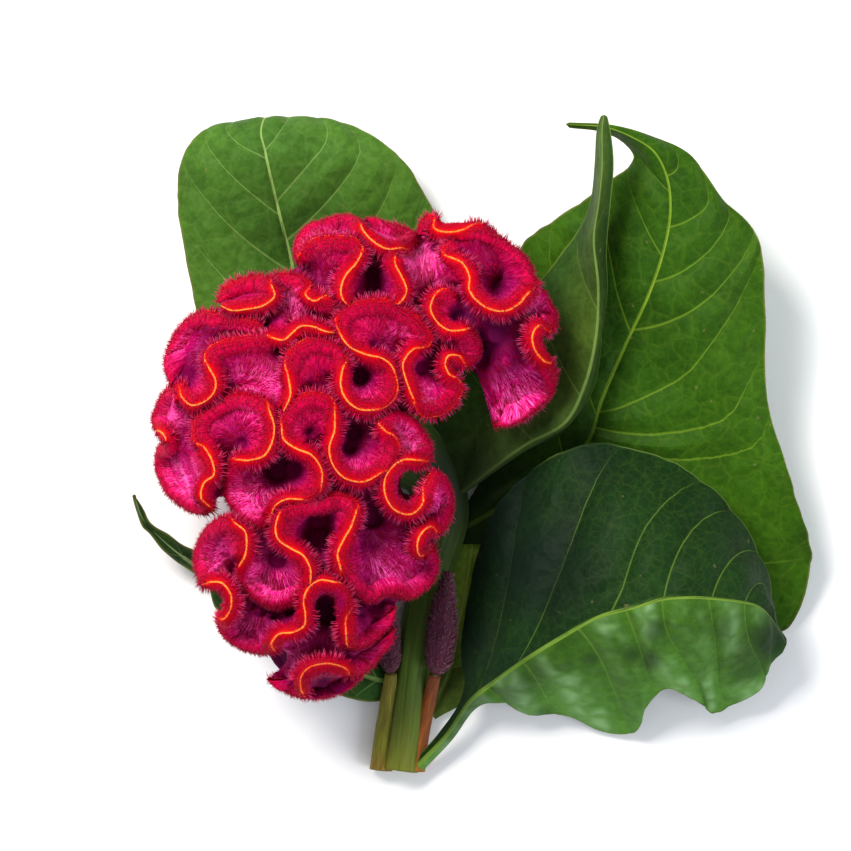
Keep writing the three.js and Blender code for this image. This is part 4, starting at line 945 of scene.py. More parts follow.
def fibre_slopes(x, y, low, way):
    """The way that the fibres point, up out of the hollows or as the fans say, and the steepness."""
    rise = 0.5 * (low - comb_height(x, y)) + WAY_WEIGHT * way
    slope_x, slope_y = (softened(slope, 10) for slope in np.gradient(softened(rise, 16), BOWL_PITCH))
    steep = np.maximum(np.hypot(slope_x, slope_y), 0.001)
    slope_x, slope_y = slope_x / steep, slope_y / steep
    for fan_x, fan_y, reach, from_x, from_y in FANS:
        share = np.exp(-(np.hypot(x - fan_x, y - fan_y) / reach) ** 4)
        away = np.maximum(np.hypot(x - from_x, y - from_y), 0.5)
        slope_x = (1 - share) * slope_x + share * (x - from_x) / away
        slope_y = (1 - share) * slope_y + share * (y - from_y) / away
    return slope_x, slope_y, steep


def nearest_crest_line(points, folds):
    """Distance of each point from the nearest crest line, rolled over or not."""
    crests = np.concatenate([np.column_stack([fold.lip, fold.roll, fold.right]) for fold in folds])
    best = np.full(len(points), np.inf)
    nearest = np.zeros(len(points), int)
    for start in range(0, len(crests), 64):
        lips = crests[start:start + 64, :3]
        away = np.linalg.norm(points[:, None, :] - lips[None, :, :], axis=2)
        place = away.argmin(1)
        distance = away[np.arange(len(points)), place]
        nearer = distance < best
        best[nearer], nearest[nearer] = distance[nearer], start + place[nearer]
    roll, right = crests[nearest, 3], crests[nearest, 4:6]
    beside = ((points[:, :2] - crests[nearest, :2]) * right).sum(1)
    return np.maximum(best, np.abs(beside - roll) * ease(np.abs(roll), 0.5, 1.5))


def build_bowls(folds, wall_material, hair_material):
    """The inner skin between the crests, with short fibres lying along its slopes."""
    rng = np.random.default_rng(SEED + 1)
    x, y, height, way, inside = bowl_heights(folds)
    low = softened(height, 8)
    tilt_x, tilt_y = np.gradient(low, BOWL_PITCH)
    slope_x, slope_y, steep = fibre_slopes(x, y, low, way)
    climb = np.clip(slope_x * tilt_x + slope_y * tilt_y, -3, 3)
    fibre = drawn_out(rng.uniform(0, 1, x.shape), x, y, slope_x, slope_y)
    fibre = 0.5 + FIBRE_CONTRAST * (fibre - 0.5)
    foot_x, foot_y = fibre_feet(x, y, way, slope_x, slope_y)
    height = softened(height, 1) + FIBRE_RELIEF * (fibre - 0.5)
    sunk = comb_height(x, y) - height
    throat = (ease(way, 0.6, 0.1) * ease(sunk, 4, 10))[inside]
    steep, sunk = steep[inside], sunk[inside]

    number = np.full(x.shape, -1)
    number[inside] = np.arange(inside.sum())
    corners = np.stack([number[:-1, :-1], number[1:, :-1], number[1:, 1:], number[:-1, 1:]], axis=-1)
    faces = corners[(corners >= 0).all(-1)]
    points = np.stack([x, y, height], axis=-1)[inside]
    line = nearest_crest_line(points, folds)
    # Painted shade: the dark hollows and the dim spots darken the skin and take the sheen away.
    dark, dim = spotted(points, SHADED_HOLLOWS), spotted(points, DIM_FOLDS)
    # Painted sheen highlight, fading out near a crest line, and left out in painted shade and in the
    # throats.
    silk_sheen = spotted(points, SHEEN_SPOTS, LEAST_SHEEN) * ease(line, CREST_ROOM, 5)
    silk_sheen = silk_sheen * (1 - dark) * (1 - dim) * (1 - throat)
    left, bottom, right, top = BOWL_REGION
    uv = (points[:, :2] - [left, bottom]) / [right - left, top - bottom]
    down = np.minimum(DOWN_PER_SUNK * sunk + 1, MOST_DOWN) + DARK_DOWN * dark + DIM_DOWN * dim
    feet = RUN_AT_FEET * np.stack([foot_x, foot_y], axis=-1)[inside]
    add_mesh("comb_bowls", points, faces, wall_material, "comb", uv[faces],
             values=dict(down=down, line=line, silk_sheen=silk_sheen, streak=fibre[inside]),
             vectors=dict(run=np.column_stack([feet, RUN_PITCH[1] * sunk])))

    chosen = rng.integers(0, len(points), int(FIBRES_PER_MM2 * len(points) * BOWL_PITCH ** 2))
    root = points[chosen] + rng.uniform(-0.5, 0.5, (len(chosen), 3)) * [BOWL_PITCH, BOWL_PITCH, 0]
    rise = np.stack([slope_x, slope_y, climb], axis=-1)[inside][chosen]
    normal = np.stack([-tilt_x, -tilt_y, 1 + 0 * tilt_x], axis=-1)[inside][chosen]
    direction = unit(rise) + 0.13 * unit(normal) + 0.05 * rng.normal(size=root.shape)
    keep = (line[chosen] > CREST_ROOM) & (steep[chosen] < STEEPEST) & (sunk[chosen] < DEEPEST)
    keep &= dark[chosen] < rng.uniform(0.1, 0.9, len(chosen))
    keep &= throat[chosen] < rng.uniform(0.4, 0.9, len(chosen))
    # Fibre tips are paler under the painted sheen highlight, and less pale the deeper they lie.
    shine = silk_sheen[chosen]
    length = (1.9 + 1.6 * shine) * rng.uniform(0.6, 1.3, len(chosen))
    pale = np.clip(0.75 * shine - 0.03 * sunk[chosen], 0, 1)
    pale = pale + (0.05 + 0.1 * shine) * rng.normal(size=len(chosen))
    root, direction, length, pale = (part[keep] for part in (root, direction, length, pale))
    add_hairs("comb_fibres", root, direction, length, FIBRE_WIDTH, rng, hair_material, "comb", pale)


def build_heart(material):
    """The dark pleated swellings that the folds stand out of."""
    points, faces, uv, streak = [], [], [], []
    rows, columns = HEART_GRID
    polar, turn = np.meshgrid(np.linspace(0.03, math.pi - 0.03, rows),
                              np.linspace(0, 2 * math.pi, columns), indexing="ij")
    for index, swelling in enumerate(HEART):
        pleat = 1 - PLEAT_DEPTH * (1 - np.cos(swelling["pleats"] * turn))
        ball = np.stack([np.sin(polar) * np.cos(turn) * pleat, np.cos(polar),
                         np.sin(polar) * np.sin(turn) * pleat], axis=-1)
        shape = ball * swelling["radii"] * HEART_SHARE + swelling["centre"]
        points.append(shape.reshape(-1, 3))
        faces.append(grid_faces(rows, columns) + index * rows * columns)
        low, high = (index + 0.05) / len(HEART), (index + 0.95) / len(HEART)
        uv.append(grid_uv(rows, columns, (0.01, low, 0.99, high)))
        streak.append(0.5 + 0.5 * np.cos(swelling["pleats"] * 3 * turn).ravel())
    points = np.concatenate(points)
    points[:, 2] = np.maximum(points[:, 2], 0.05)
    down = np.full(len(points), HEART_DOWN)
    add_mesh("comb_heart", points, np.concatenate(faces), material, "comb", np.concatenate(uv),
             values=dict(down=down, line=down, silk_sheen=0 * down, streak=np.concatenate(streak)))


# ---- Leaves -----------------------------------------------------------------------------------

LEAF_THICKNESS = 0.5
LEAF_CLEARANCE = 0.12  # from the table to the lowest place of a leaf
RIB_RELIEF = 0.9  # how far the midrib stands out under the blade
RIB_GROOVE = 0.5  # how deep it lies in the blade's upper side
VEIN_RELIEF = 0.25  # how far the side veins stand out under the blade
QUILT = 0.9  # height of the blade's swelling between two side veins
NICK = 0.006  # depth of the margin's nicks, as a share of the half width
NICK_SIZES = (2.2, 7)
STRAIGHT_UP = np.array([0, 0, 1.0])


def side_vein_phase(along, out, veins):
    """Counts the side veins: whole numbers lie on a vein. A vein is its places along the leaf at
    the midrib, halfway out and at the margin. The gap is the room between two veins."""
    start, halfway, end = np.array(veins).T
    phase = np.zeros(along.shape)
    gap = np.zeros(along.shape)
    for column in range(along.shape[1]):
        share = out[0, column]
        marks = (start * (1 - share) * (1 - 2 * share) + halfway * 4 * share * (1 - share)
                 + end * share * (2 * share - 1))
        first, last = 0.5 * (marks[1] - marks[0]), 0.5 * (marks[-1] - marks[-2])
        ladder = np.concatenate([[marks[0] - first], marks, [marks[-1] + last]])
        count = np.concatenate([[0.5], 1 + np.arange(len(marks)), [len(marks) + 0.5]])
        phase[:, column] = np.interp(along[:, column], ladder, count)
        gap[:, column] = np.interp(along[:, column], marks, np.gradient(marks))
    return phase, gap


def shape_blade(points, rib, half, along, out, is_left, between, form):
    """The swellings, waves and grooved midrib of a blade, and each place's distance from the rib."""
    broad = ease(half, 4, 12)[:, None]  # the narrow ends of a leaf stay smooth
    swell = (4 * between * (1 - between)) ** 0.8
    points[..., 2] += (half * form["bulge"])[:, None] * 4 * out * (1 - out)
    lift = broad * form.get("quilt", QUILT) * swell * np.minimum(1, 4 * out) * (1 - 0.55 * out)
    points += lift[..., None] * surface_normals(points, np.broadcast_to(STRAIGHT_UP, points.shape))
    turn = 2 * math.pi * form["waves"] * along + np.where(is_left, 0, 1.3)
    points[..., 2] += broad * form["wave"] * out ** 3 * np.sin(turn)
    rib_distance = np.linalg.norm(points - rib[:, None], axis=2)
    groove = RIB_GROOVE * np.minimum(1, half / 6)[:, None]
    points[..., 2] -= groove * np.exp(-(rib_distance / 1.3) ** 2)
    return points, rib_distance


def blade_skins(points, along, out, rib_distance, vein_distance, turned):
    """The upper and the lower skin of a blade. A turned blade curls past the vertical."""
    if turned:
        normal = unit(np.cross(np.gradient(points, axis=0), np.gradient(points, axis=1)))
        normal *= np.sign(normal[points.shape[0] // 2, points.shape[1] // 2, 2])
    else:
        normal = surface_normals(points, np.broadcast_to(STRAIGHT_UP, points.shape))
    taper = (1 - along) * 0.8 + 0.2
    under = LEAF_THICKNESS * 0.5 + RIB_RELIEF * taper * np.exp(-(rib_distance / 1.1) ** 2)
    under = under + VEIN_RELIEF * np.exp(-(vein_distance / 0.7) ** 2) * (1 - out)
    skins = np.stack([points + 0.5 * LEAF_THICKNESS * normal, points - under[..., None] * normal])
    lowest = np.array([LEAF_CLEARANCE + LEAF_THICKNESS, LEAF_CLEARANCE])
    skins[..., 2] = np.maximum(skins[..., 2], lowest[:, None, None])
    return skins


def closed_skins(rows, columns):
    """Faces and UV of two grids of points that are joined along their margins."""
    count = rows * columns
    quads = grid_faces(rows, columns)
    ring = np.concatenate([
        np.arange(columns), np.arange(1, rows) * columns + columns - 1,
        (rows - 1) * columns + np.arange(columns - 2, -1, -1), np.arange(rows - 2, 0, -1) * columns,
    ])
    following = np.roll(ring, -1)
    rim = np.stack([ring, following, following + count, ring + count], axis=1)
    rim_uv = np.zeros((len(rim), 4, 2)) + (0.5, 0.002)
    faces = np.concatenate([quads, quads[:, ::-1] + count, rim])
    uv = np.concatenate([grid_uv(rows, columns, (0.01, 0.01, 0.99, 0.495)),
                         grid_uv(rows, columns, (0.01, 0.505, 0.99, 0.99))[:, ::-1], rim_uv])
    return faces, uv


def build_leaf(node, stations, form, material, rng):
    """A leaf of two skins, swollen between its side veins and nicked along its margins."""
    rows, columns = form["grid"]
    t = np.linspace(0, 1, rows)
    left, rib, right = (catmull_rom([station[k] for station in stations], t) for k in range(3))
    half = 0.5 * np.linalg.norm(left - right, axis=1)
    length = np.linalg.norm(np.diff(rib, axis=0), axis=1).sum()
    share = np.linspace(-1, 1, columns)
    is_left = np.broadcast_to(share < 0, (rows, columns))
    out = np.broadcast_to(np.abs(share), (rows, columns))
    along = np.broadcast_to(t[:, None], (rows, columns))
    nick = 1 + NICK * np.array([
        sum(value_noise(rng, rows, length / rows, size) for size in NICK_SIZES) for _ in range(2)])
    margin = np.where(is_left[..., None], left[:, None], right[:, None])
    reach = out * np.where(is_left, nick[0][:, None], nick[1][:, None])
    points = rib[:, None] + (margin - rib[:, None]) * reach[..., None]

    sides = [side_vein_phase(along, out, form[side]) for side in ("left", "right")]
    phase, gap = (np.where(is_left, *values) for values in zip(*sides))
    gap = gap * length
    between = phase - np.floor(phase)
    points, rib_distance = shape_blade(points, rib, half, along, out, is_left, between, form)
    vein_distance = np.minimum(between, 1 - between) * gap
    skins = blade_skins(points, along, out, rib_distance, vein_distance, form.get("turned", False))
    slender = np.where(t > 0.5, np.clip(half / 8, 0.12, 1), 1)[:, None]

    def twice(values):
        return np.tile(np.broadcast_to(values, (rows, columns)).ravel(), 2)

    faces, uv = closed_skins(rows, columns)
    add_mesh(node + "_blade", skins.reshape(-1, 3), faces, material, node, uv, values=dict(
        phase=twice(phase), gap=twice(gap), rib=twice(rib_distance / slender), side=twice(share),
        edge=twice(np.linalg.norm(margin - rib[:, None], axis=2) * (1 - out)), along=twice(along),
        out=twice(out), under=np.repeat([0.0, 1.0], rows * columns),
        shade=twice(spotted(points, form.get("shaded", DEEP_SHADE))),
    ))


# ---- Stem and spikes --------------------------------------------------------------------------


def rod_grid(path, rows, facets, flutes, relief):
    """Rings of points along a path of [x, y, z, half width, half height], with rounded flutes."""
    path = np.asarray(path, float)
    t = np.linspace(0, 1, rows)
    middle = catmull_rom(path[:, :3], t)
    size = catmull_rom(np.column_stack([path[:, 3:], 0 * path[:, 3]]), t)
    tangent = unit(np.gradient(middle, axis=0))
    side = unit(np.column_stack([tangent[:, 1], -tangent[:, 0], 0 * tangent[:, 0]]))
    up = np.cross(side, tangent)
    turn = np.linspace(0, 2 * math.pi, facets)
    scale = 1 - relief * (0.5 - 0.5 * np.cos(flutes * turn))
    return (middle[:, None] + side[:, None] * (np.cos(turn) * scale)[None, :, None] * size[:, None, :1]
            + up[:, None] * (np.sin(turn) * scale)[None, :, None] * size[:, None, 1:2])


ROD_CLEARANCE = 0.02
CAP_RADIUS = 0.06  # of the two end faces in the UV map


def build_rod(name, node, path, material, rows=90, facets=49, flutes=8, relief=0.06):
    """A rod closed by a fan of triangles at each end."""
    points = rod_grid(path, rows, facets, flutes, relief)
    points[..., 2] = np.maximum(points[..., 2], ROD_CLEARANCE)
    ends = [points[0].mean(0), points[-1].mean(0)]
    count = rows * facets
    last = (rows - 1) * facets
    faces = grid_faces(rows, facets).tolist()
    faces += [[count, k + 1, k] for k in range(facets - 1)]
    faces += [[count + 1, last + k, last + k + 1] for k in range(facets - 1)]
    uv = list(grid_uv(rows, facets, (0.01, 0.01, 0.85, 0.99)).reshape(-1, 2))
    for centre in (np.array([0.93, 0.25]), np.array([0.93, 0.75])):
        for k in range(facets - 1):
            turns = (2 * math.pi * (k + n) / (facets - 1) for n in (0, 1))
            rim = [centre + CAP_RADIUS * np.array([math.cos(turn), math.sin(turn)]) for turn in turns]
            uv += [centre, *rim]
    along = np.repeat(np.linspace(0, 1, rows), facets)
    turn = np.tile(np.linspace(0, 1, facets), rows)
    points = np.vstack([points.reshape(-1, 3), ends])
    add_mesh(name, points, faces, material, node, uv, values=dict(
        along=np.append(along, [0, 1]), turn=np.append(turn, [0.5, 0.5]),
        cut=np.append(np.zeros(count), [1, 1]), shade=spotted(points, STEM_SHADE),
    ))


SLIM_GRID = dict(rows=40, facets=33)  # of the stalks and the spikes' cores
SPIKE_FLUTES = dict(flutes=5, relief=0.1)
FLORETS = 1500


def build_spike(node, path, core_material, floret_material, rng):
    """A side spike: its fluted core, and florets that stand out of it and lean to its tip."""
    build_rod(node + "_core", node, path, core_material, **SLIM_GRID, **SPIKE_FLUTES)
    rows, facets = 60, 37
    grid = rod_grid(path, rows, facets, **SPIKE_FLUTES)
    middle = grid.mean(axis=1)
    outward = unit(grid - middle[:, None])
    rise = unit(np.gradient(middle, axis=0))
    row = rng.uniform(1, rows - 2, FLORETS)
    column = rng.uniform(0, facets - 1.1, FLORETS)
    out = sample(outward, row, column)
    up = np.stack([np.interp(row, np.arange(rows), rise[:, k]) for k in range(3)], axis=1)
    direction = out + 0.9 * up + 0.2 * rng.normal(size=out.shape)
    length = rng.uniform(1.0, 2.1, FLORETS)
    width = rng.uniform(0.2, 0.42, FLORETS)
    add_hairs(node + "_florets", sample(grid, row, column) - 0.3 * out, direction, length, width, rng,
              floret_material, node, rng.uniform(0, 1, FLORETS))


# ---- Shaders ----------------------------------------------------------------------------------


def colour(red, green, blue):
    """A display colour of 0 to 255 as the linear colour that shaders take."""
    share = np.array([red, green, blue]) / 255
    linear = np.where(share <= 0.04045, share / 12.92, ((share + 0.055) / 1.055) ** 2.4)
    return (*(float(value) for value in linear), 1.0)


class Shader:
    """A material with one Principled surface, and short calls for the nodes that feed it."""

    def __init__(self, name, **sockets):
        self.material = bpy.data.materials.new(name)
        self.material.use_nodes = True
        self.tree = self.material.node_tree
        self.surface = self.tree.nodes["Principled BSDF"]
        for key, value in sockets.items():
            self.surface.inputs[key.replace("_", " ")].default_value = value

    def add(self, kind, result, inputs, **settings):
        """A new node's output. Each of its inputs is a socket to link, or a constant."""
        node = self.tree.nodes.new("ShaderNode" + kind)
        for key, value in settings.items():
            setattr(node, key, value)
        for key, source in inputs.items():
            if isinstance(source, bpy.types.NodeSocket):
                self.tree.links.new(source, node.inputs[key])
            else:
                node.inputs[key].default_value = source
        return node.outputs[result]

    def value(self, key):
        return self.add("Attribute", "Fac", {}, attribute_name=key)

    def vector(self, key):
        return self.add("Attribute", "Vector", {}, attribute_name=key)

    def place(self):
        return self.add("TexCoord", "Object", {})

    def spread(self, source, low, high, to_low=0.0, to_high=1.0):
        """A smooth step of source, from to_low at low to to_high at high."""
        return self.add("MapRange", "Result", {
            "Value": source, "From Min": low, "From Max": high, "To Min": to_low, "To Max": to_high,
        }, interpolation_type="SMOOTHSTEP")

    def maths(self, operation, *values):
        return self.add("Math", "Value", dict(enumerate(values)), operation=operation)

    def times(self, first, second):
        return self.maths("MULTIPLY", first, second)

    def ramp(self, source, length, *stops):
        """Colours along source, each stop a place from 0 to length and a colour."""
        share = self.add("MapRange", "Result", {"Value": source, "From Min": 0.0, "From Max": length})
        result = self.add("ValToRGB", "Color", {"Fac": share})
        elements = result.node.color_ramp.elements
        elements.remove(elements[1])
        for index, (place, *rgb) in enumerate(stops):
            element = elements[0] if index == 0 else elements.new(place / length)
            element.position = place / length
            element.color = colour(*rgb)
        return result

    def noise(self, where, scale, detail=2.0, roughness=0.5):
        return self.add("TexNoise", "Fac", {
            "Vector": where, "Scale": scale, "Detail": detail, "Roughness": roughness,
        })

    def cells(self, where, scale):
        """How far inside the cells of an irregular net each place is."""
        return self.add("TexVoronoi", "Distance", {"Vector": where, "Scale": scale},
                        feature="DISTANCE_TO_EDGE")

    def mix(self, share, first, second, blend="MIX"):
        """Second over first, each a socket or a display colour."""
        first, second = (
            side if isinstance(side, bpy.types.NodeSocket) else colour(*side) for side in (first, second))
        return self.add("Mix", 2, {0: share, 6: first, 7: second}, data_type="RGBA", blend_type=blend)

    def layered(self, base, *layers):
        """A base colour with layers over it, each a share and a colour."""
        for share, over in layers:
            base = self.mix(share, base, over)
        return base

    def finish(self, base, bumps=()):
        """Feeds the surface: a base colour, and bumps of (height, strength, distance in mm)."""
        self.tree.links.new(base, self.surface.inputs["Base Color"])
        below = {}
        for height, strength, distance in bumps:
            inputs = {"Height": height, "Strength": strength, "Distance": distance * MM}
            below = {"Normal": self.add("Bump", "Normal", {**inputs, **below})}
        if below:
            self.tree.links.new(below["Normal"], self.surface.inputs["Normal"])
        return self.material


def comb_shader():
    look = Shader("comb_velvet", Roughness=0.6, Sheen_Weight=0.05, Sheen_Roughness=0.4,
                  Sheen_Tint=colour(255, 0, 110), Specular_IOR_Level=0.04)
    down, line, silk_sheen = look.value("down"), look.value("line"), look.value("silk_sheen")
    thread = look.spread(look.noise(look.vector("run"), 1.0), 0.32, 0.68)
    fibre = look.maths("ADD", look.times(look.value("streak"), 0.4), look.times(thread, 0.6))
    grain = look.noise(look.place(), 1100.0)
    patch = look.noise(look.place(), 90.0)
    ragged = look.maths("MULTIPLY_ADD", patch, 0.25, line)
    ragged = look.maths("MULTIPLY_ADD", grain, 0.4, ragged)
    crest = look.ramp(ragged, 4.8, (0, 255, 178, 92), (0.48, 255, 140, 60), (0.62, 252, 56, 22),
                      (0.85, 212, 10, 14), (1.4, 180, 0, 20), (2.6, 164, 0, 32), (4.8, 168, 0, 48))
    wall = look.ramp(down, 36.0, (0, 184, 0, 50), (5, 188, 0, 64), (9, 170, 0, 68), (13, 140, 2, 82),
                     (18, 108, 0, 62), (25, 92, 0, 56), (34, 82, 2, 54))
    # Painted shade: the crest's colours go a deep red where a place lies further down than it is from the
    # crest line, as in the dim spots.
    dim = look.spread(look.maths("SUBTRACT", down, line), 4.0, 14.0, 0.0, 0.6)
    away = look.spread(line, 1.2, 4.0)
    dark = look.times(look.spread(fibre, 0.5, 0.05), look.times(away, 0.75))
    light = look.times(look.spread(fibre, 0.5, 0.95), look.times(away, 0.4))
    light = look.times(light, look.spread(down, 22.0, 8.0))
    base = look.mix(look.spread(line, 2.4, 4.4), look.mix(dim, crest, (104, 0, 26)), wall)
    # Over the wall: the fibres' own dark and light streaks, then painted sheen highlights in pink.
    base = look.layered(
        base, (dark, (84, 0, 38)), (light, (236, 4, 92)), (look.times(silk_sheen, 0.85), (246, 16, 140)),
        (look.spread(silk_sheen, 1.0, 1.3, 0.0, 0.6), (255, 92, 190)),
        (look.times(look.spread(fibre, 0.35, 0.85), silk_sheen), (255, 104, 196)),
        (look.times(look.spread(fibre, 0.4, 0.1), look.times(silk_sheen, 0.6)), (170, 0, 84)),
    )
    return look.finish(base, [(fibre, 0.4, 0.15), (grain, 0.4, 0.15)])


def hair_shader():
    look = Shader("comb_hair", Roughness=0.6, Specular_IOR_Level=0.06)
    tip = look.value("tip")
    plain = look.ramp(tip, 1.0, (0, 140, 0, 34), (0.5, 186, 0, 40), (1, 218, 8, 50))
    light = look.ramp(tip, 1.0, (0, 200, 0, 56), (0.4, 248, 36, 110), (1, 255, 140, 188))
    # Pale tips: the fringe's own pale pink, and painted highlight on the hairs under the sheen spots.
    base = look.mix(look.value("pale"), plain, light)
    foot = look.spread(tip, 0.0, 1.0, 0.6, 0.2)
    return look.finish(look.mix(look.times(look.value("tone"), foot), base, (116, 0, 38)))


def leaf_shader(name, inner, outer, vein, under, upper=None, rim=(120, 120, 60),
                highlight_colour=(150, 170, 110), highlight_share=0.0, painted_shade_colour=None):
    """Leaf skin: colours from the midrib to the margin, its veins, and the paler underside."""
    look = Shader(name, Roughness=0.6, Sheen_Weight=0.02, Sheen_Roughness=0.5, Specular_IOR_Level=0.08)
    place = look.place()
    out, shade = look.value("out"), look.value("shade")
    broad = look.noise(place, 35.0, 3.0, 0.6)
    fine = look.noise(place, 420.0, 3.0, 0.6)
    waver = look.add("TexNoise", "Color", {"Vector": place, "Scale": 120.0, "Detail": 2.0})
    warp = look.add("VectorMath", "Vector", {0: waver, 1: (0.004, 0.004, 0.004), 2: place},
                    operation="MULTIPLY_ADD")
    net, quilt = look.cells(warp, 330.0), look.cells(warp, 110.0)
    swelling = look.maths("PINGPONG", look.value("phase"), 0.5)

    base = look.mix(look.spread(out, 0.1, 0.9), inner, outer)
    # Painted highlight in broad light patches, kept off the upper half where one is given.
    highlight_patches = look.spread(broad, 0.42, 0.62, 0.0, highlight_share)
    # Painted shade: the upper colour darkens the upper half of the blade, which faces away from the light.
    if upper:
        upper_half = look.spread(look.value("side"), 0.03, -0.03)
        base = look.mix(upper_half, base, upper)
        highlight_patches = look.times(highlight_patches, look.maths("SUBTRACT", 1.0, upper_half))
    base = look.mix(look.spread(broad, 0.6, 0.3, 0.0, 0.6), base, (150, 165, 160), "MULTIPLY")
    base = look.mix(look.spread(fine, 0.65, 0.35, 0.0, 0.5), base, (185, 200, 180), "MULTIPLY")
    # The painted highlight lies on the tops of the swellings between side veins.
    lit_swellings = look.times(look.spread(swelling, 0.08, 0.4), look.spread(quilt, 0.0, 0.3, 0.35, 1.0))
    specks = look.spread(look.noise(place, 330.0, 1.0), 0.74, 0.8, 0.0, 0.45)

    quilt_line = look.times(look.spread(quilt, 0.07, 0.0), 0.4 if upper else 1.0)
    thin = look.spread(out, 0.0, 1.0, 1.0, 0.4)
    side_vein = look.maths("DIVIDE", look.times(swelling, look.value("gap")), thin)
    side_vein = look.times(look.spread(side_vein, 0.52, 0.15), look.spread(out, 1.0, 0.7, 0.1, 1.0))
    rib_width = look.spread(look.value("along"), 0.0, 1.0, 0.95, 0.4)
    midrib = look.spread(look.maths("DIVIDE", look.value("rib"), rib_width), 1.1, 0.55)
    lines = look.maths("MAXIMUM", look.times(side_vein, 0.45), midrib)
    # A pale rim along the margin, partly the margin's own colour and partly painted highlight, left out in
    # painted shade.
    edge = look.times(look.spread(look.value("edge"), 0.8, 0.2, 0.0, 0.6), look.spread(shade, 0.6, 0.1))
    base = look.layered(
        base, (look.times(highlight_patches, lit_swellings), highlight_colour), (specks, (118, 108, 66)),
        (look.times(look.spread(net, 0.1, 0.0), 0.05), vein), (look.times(quilt_line, 0.07), vein),
        # Painted shade near the comb and the stem, in a dark tone of the leaf's green.
        (shade, painted_shade_colour or 0.3 * np.array(inner)),
        (look.times(lines, look.spread(shade, 0.0, 0.9, 1.0, 0.15)), vein), (edge, rim),
    )
    below = look.mix(look.maths("MAXIMUM", lines, look.times(quilt_line, 0.4)), under,
                     0.4 * np.array(under) + 0.6 * np.array(vein))
    return look.finish(look.mix(look.value("under"), base, below), [
        (swelling, 0.6, 2.5), (look.spread(quilt, 0.0, 0.5), 0.45, 1.1),
        (look.spread(net, 0.0, 0.4), 0.2, 0.25), (fine, 0.15, 0.12), (side_vein, -0.5, 0.6),
        (midrib, -0.5, 0.5),
    ])


def stem_shader(name, foot, middle, top):
    """Stem skin: colours from the cut end to the comb, streaks along it, and the cut face."""
    look = Shader(name, Roughness=0.5, Sheen_Weight=0.03, Specular_IOR_Level=0.12)
    along = look.value("along")
    stretched = look.add("CombineXYZ", "Vector", {
        "X": look.times(look.value("turn"), 40.0), "Y": look.times(along, 5.0),
    })
    streak = look.noise(stretched, 1.0, 3.0, 0.6)
    base = look.layered(
        look.ramp(along, 1.0, (0, *foot), (0.25, *middle), (1, *top)),
        (look.spread(streak, 0.4, 0.7, 0.0, 0.5), 1.35 * np.array(middle)),
        (look.spread(streak, 0.45, 0.25, 0.0, 0.5), 0.55 * np.array(middle)),
        (look.value("shade"), (16, 26, 12)), (look.spread(look.value("cut"), 0.3, 0.7), (150, 150, 90)),
    )
    return look.finish(base, [(streak, 0.5, 0.4)])


def floret_shader():
    look = Shader("spike_floret", Roughness=0.6, Sheen_Weight=0.05, Specular_IOR_Level=0.1)
    tip = look.value("tip")
    plain = look.ramp(tip, 1.0, (0, 56, 14, 34), (0.6, 100, 40, 68), (1, 146, 92, 112))
    light = look.ramp(tip, 1.0, (0, 92, 60, 48), (1, 184, 140, 146))
    return look.finish(look.mix(look.times(look.value("pale"), 0.6), plain, light))

# ---- The flower -------------------------------------------------------------------------------


def alike(*veins):
    """The same side veins on both halves of a leaf."""
    return dict(left=veins, right=veins)


